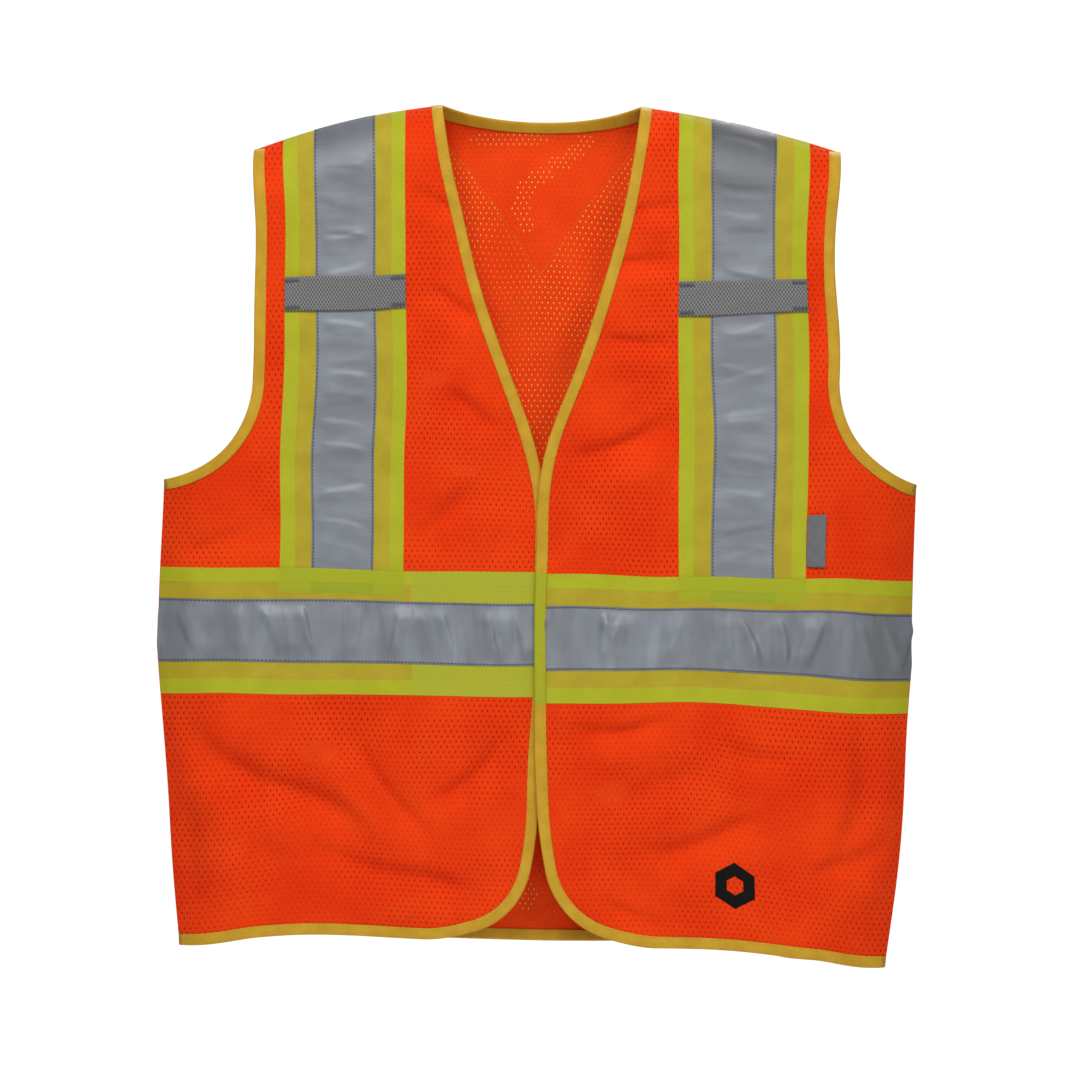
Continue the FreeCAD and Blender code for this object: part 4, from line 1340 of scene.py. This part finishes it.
def build_tabs():
    """The webbing tabs, woven in their mesh, and the bar tacks at their corners."""
    for name, (panel, _) in SIDES.items():
        low, high = node_box(f"mic_tab_{name}")
        centre = ((low.x + high.x) / 2, (low.z + high.z) / 2)
        half = ((high.x - low.x) / 2, (high.z - low.z) / 2)
        columns = np.linspace(-half[0], half[0], round(2 * half[0] / TAB_STEP) + 1)
        rows = np.linspace(-half[1], half[1], round(2 * half[1] / TAB_STEP) + 1)
        a, b = (grid.ravel() for grid in np.meshgrid(columns, rows))

        def hung(a, b):
            edge = 0.25 * np.sin(b * 0.9) * smooth(np.abs(a), half[0] - 2, half[0])
            return centre[0] + a + edge, centre[1] + b + TAB_TILT * a + TAB_SHIFT[name]

        x, z = hung(a, b)
        weave = np.sin(2 * math.pi * a / WEAVE_ACROSS) * np.sin(2 * math.pi * b / WEAVE_UP)
        sewn = smooth(half[0] - np.abs(a), 10, 26)
        selvedge = smooth(half[1] - np.abs(b), 0, 1.6)
        base = SILVER_LIFT + 0.35 + 0.75 * sewn
        top, normal = place(
            x, z, panel, base + TAB_THICK * (0.6 + 0.4 * selvedge) + 0.16 * weave * selvedge
        )
        bottom, _ = place(x, z, panel, base)
        faces = outward(top, grid_faces(len(rows), len(columns)), normal)
        points, faces = shell(top, bottom, faces)
        uv = np.concatenate([flat_uv(a, b)] * 2)
        tab = new_object(f"mic_tab_webbing_{name}", points, faces, WEBBING, uv, "vest", "webbing")
        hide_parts(f"mic_tab_{name}")
        bars = []
        for across in (-1, 1):
            for up in (-1, 1):
                ends = np.array((up * (half[1] - TACK_TOP), up * (half[1] - TACK_FOOT)))
                for shift in np.arange(-TACK_HALF, TACK_HALF + 0.01, TACK_PITCH):
                    at = across * (half[0] - TACK_MIDDLE) + shift
                    bar = np.stack(hung(np.full(2, at), ends), axis=1)
                    bars.append((bar, TACK_LIFT, TACK_LONG))
        tacks = threads(
            f"bar_tacks_{name}", bars, panel, TACK_THREAD, "tack_thread", "vest", TACK_LONG,
            half=0.34, tall=0.22,
        )
        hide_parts(f"tab_tacks_{name}")


# ---- Closure, label and print ----------------------------------------------------------------------------
def build_closure():
    """The hook and loop strips that face each other between the fronts, each on its front's binding."""
    low, high = node_box("hook_strip")
    start, end = low.x + 0.6, high.x - 0.6
    outline = polygon((start, low.z), (end, low.z), (end, high.z), (start, high.z))
    strips = (("hook", "left", -1, HOOKS, 1.5), ("loop", "right", 1, LOOPS, 2.3))
    for kind, name, facing, material, height in strips:
        panel = SIDES[name][0]

        def lift(x, z):
            edge = np.minimum(np.minimum(x - start, end - x), np.minimum(z - low.z, high.z - z))
            fuzz = 0.12 * np.sin(x * 4.1 + 3 * np.sin(z * 1.7)) * np.sin(z * 4.7)
            return facing * (height + (0.3 + fuzz) * smooth(edge, 0, 1.2))

        strip = cloth(
            f"{kind}_strip_pile", outline, panel, material, "hook_and_loop", f"flap_{name}", lift,
            thick=0.5, step=0.8,
        )
        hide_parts(f"{kind}_strip")
        seam, pitch = inset(np.concatenate([outline, outline[:1]]), 1.1), 2.6
        rows = [(seam, facing * (height + 0.55), pitch)]
        threads(f"{kind}_strip_stitching", rows, panel, LIME_THREAD, "hook_and_loop", f"flap_{name}")


def build_label():
    """A strip folded in half, its two ends sewn under the brace tape, the fold free."""
    low, high = node_box("edge_label")
    wide, tall = high.x - low.x, high.z - low.z
    across = np.linspace(0, 1, 14)
    heights = np.linspace(0, 1, 30)
    # the strip's section: distance out from its sewn edge, in widths, and height above its middle
    section = [(t, 0.16 + 0.34 * math.sin(math.pi * t)) for t in across]
    section += [(1.02, 0.1), (1.02, -0.1)]
    section += [(t, -0.16 - 0.2 * math.sin(math.pi * t)) for t in across[::-1]]
    section += [(t, 0.5 * h) for t, h in section[::-1]]
    x, z = np.full(len(heights), low.x + 0.2), low.z + tall * heights
    rings, uvs = [], []
    for t, h in section:
        curl = 0.7 * t * t * np.sin(math.pi * heights) + 0.5 * t * heights
        rings.append(place(x + wide * t, z + 0.4 * t * (heights - 0.5), "over", 1.5 + h + curl)[0])
        uvs.append(np.stack([wide * t + 0 * heights, tall * heights], axis=1) * MM)
    made = tube("folded_label", rings, uvs, LABEL, "label", "label")
    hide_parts("edge_label")


def build_print():
    """A plain six-sided mark with a six-sided hole, in black ink near the hem."""
    middle, outer, inner = np.array((158.0, -627.0)), 19.0, 8.0
    rings, side_steps = 4, 8

    def hexagon(radius):
        turns = np.linspace(0, 2 * math.pi, 7) + math.pi / 6
        corners = middle + radius * np.stack([np.cos(turns), np.sin(turns)], axis=1)
        shares = np.linspace(0, 1, side_steps, endpoint=False)[:, None]
        return np.concatenate([a + (b - a) * shares for a, b in zip(corners[:-1], corners[1:])])
    pattern = np.concatenate([hexagon(radius) for radius in np.linspace(inner, outer, rings)])
    points, normals = place(*pattern.T, "over", 0.32)
    faces = outward(points, grid_faces(rings, 6 * side_steps, closed=True), normals)
    points, faces = shell(points + normals * 0.06, points - normals * 0.06, faces)
    new_object("print_mark", points, faces, INK, np.concatenate([flat_uv(*pattern.T)] * 2), "vest", "mesh")


# ---- Stage -----------------------------------------------------------------------------------------------
# in metres and watts: name, place, width and power of each lamp
LAMPS = (
    ("key", (-0.4, -2.2, 1.7), 1.2, 66.0), ("fill", (1.0, -2.8, 0.3), 0.8, 18.0),
    ("rear_key", (0.4, 2.2, 1.7), 1.2, 66.0), ("rear_fill", (-1.0, 2.8, 0.3), 0.8, 18.0),
)
FLOOR_HEIGHT, FLOOR_HALF = -1.25, 1.0
CAMERA_PLACE = (0, -3.5, -0.3507)
CAMERA_LENS = 142.9
SEEN_WHITE, WORLD_LIGHT = 1.05, 0.23  # what the camera sees behind the vest, and what lights it


def build_stage():
    scene = bpy.context.scene
    scene.view_settings.view_transform = "Standard"
    world = bpy.data.worlds.new("studio")
    scene.world = world
    world.use_nodes = True
    nodes, links = world.node_tree.nodes, world.node_tree.links
    output = nodes["World Output"]
    seen, lit = nodes["Background"], nodes.new("ShaderNodeBackground")
    for shown, strength, tint in ((seen, SEEN_WHITE, (1, 1, 1, 1)), (lit, WORLD_LIGHT, (0.96, 0.98, 1, 1))):
        shown.inputs["Strength"].default_value = strength
        shown.inputs["Color"].default_value = tint
    rays, share = nodes.new("ShaderNodeLightPath"), nodes.new("ShaderNodeMixShader")
    links.new(rays.outputs["Is Camera Ray"], share.inputs[0])
    links.new(lit.outputs[0], share.inputs[1])
    links.new(seen.outputs[0], share.inputs[2])
    links.new(share.outputs[0], output.inputs["Surface"])

    floor_mesh = bpy.data.meshes.new("floor")
    low, half = FLOOR_HEIGHT, FLOOR_HALF
    corners = [(-half, -half, low), (half, -half, low), (half, half, low), (-half, half, low)]
    floor_mesh.from_pydata(corners, [], [(0, 1, 2, 3)])
    floor = linked("floor", floor_mesh)
    pale = bpy.data.materials.new("pale_floor")
    pale.use_nodes = True
    for socket, value in (
        ("Base Color", (0.84, 0.84, 0.84, 1)), ("Emission Color", (1, 1, 1, 1)),
        ("Emission Strength", 0.25), ("Roughness", 0.9),
    ):
        pale.node_tree.nodes["Principled BSDF"].inputs[socket].default_value = value
    floor_mesh.materials.append(pale)

    middle = Vector((0, 0, HEM * MM / 2))
    for name, spot, size, watts in LAMPS:
        lamp = bpy.data.lights.new(name, "AREA")
        lamp.size, lamp.energy = size, watts
        lamp_object = linked(name, lamp)
        lamp_object.location = spot
        lamp_object.rotation_euler = (middle - Vector(spot)).to_track_quat("-Z", "Y").to_euler()

    camera_data = bpy.data.cameras.new("camera")
    camera_data.lens, camera_data.sensor_width = CAMERA_LENS, 36
    camera = linked("camera", camera_data)
    camera.location = CAMERA_PLACE
    camera.rotation_euler = (math.pi / 2, 0, 0)
    scene.camera = camera


for build in (
    build_stage, build_panels, build_braces, build_waist, build_cross, build_bindings, build_seams,
    build_tabs, build_closure, build_label, build_print,
):
    build()
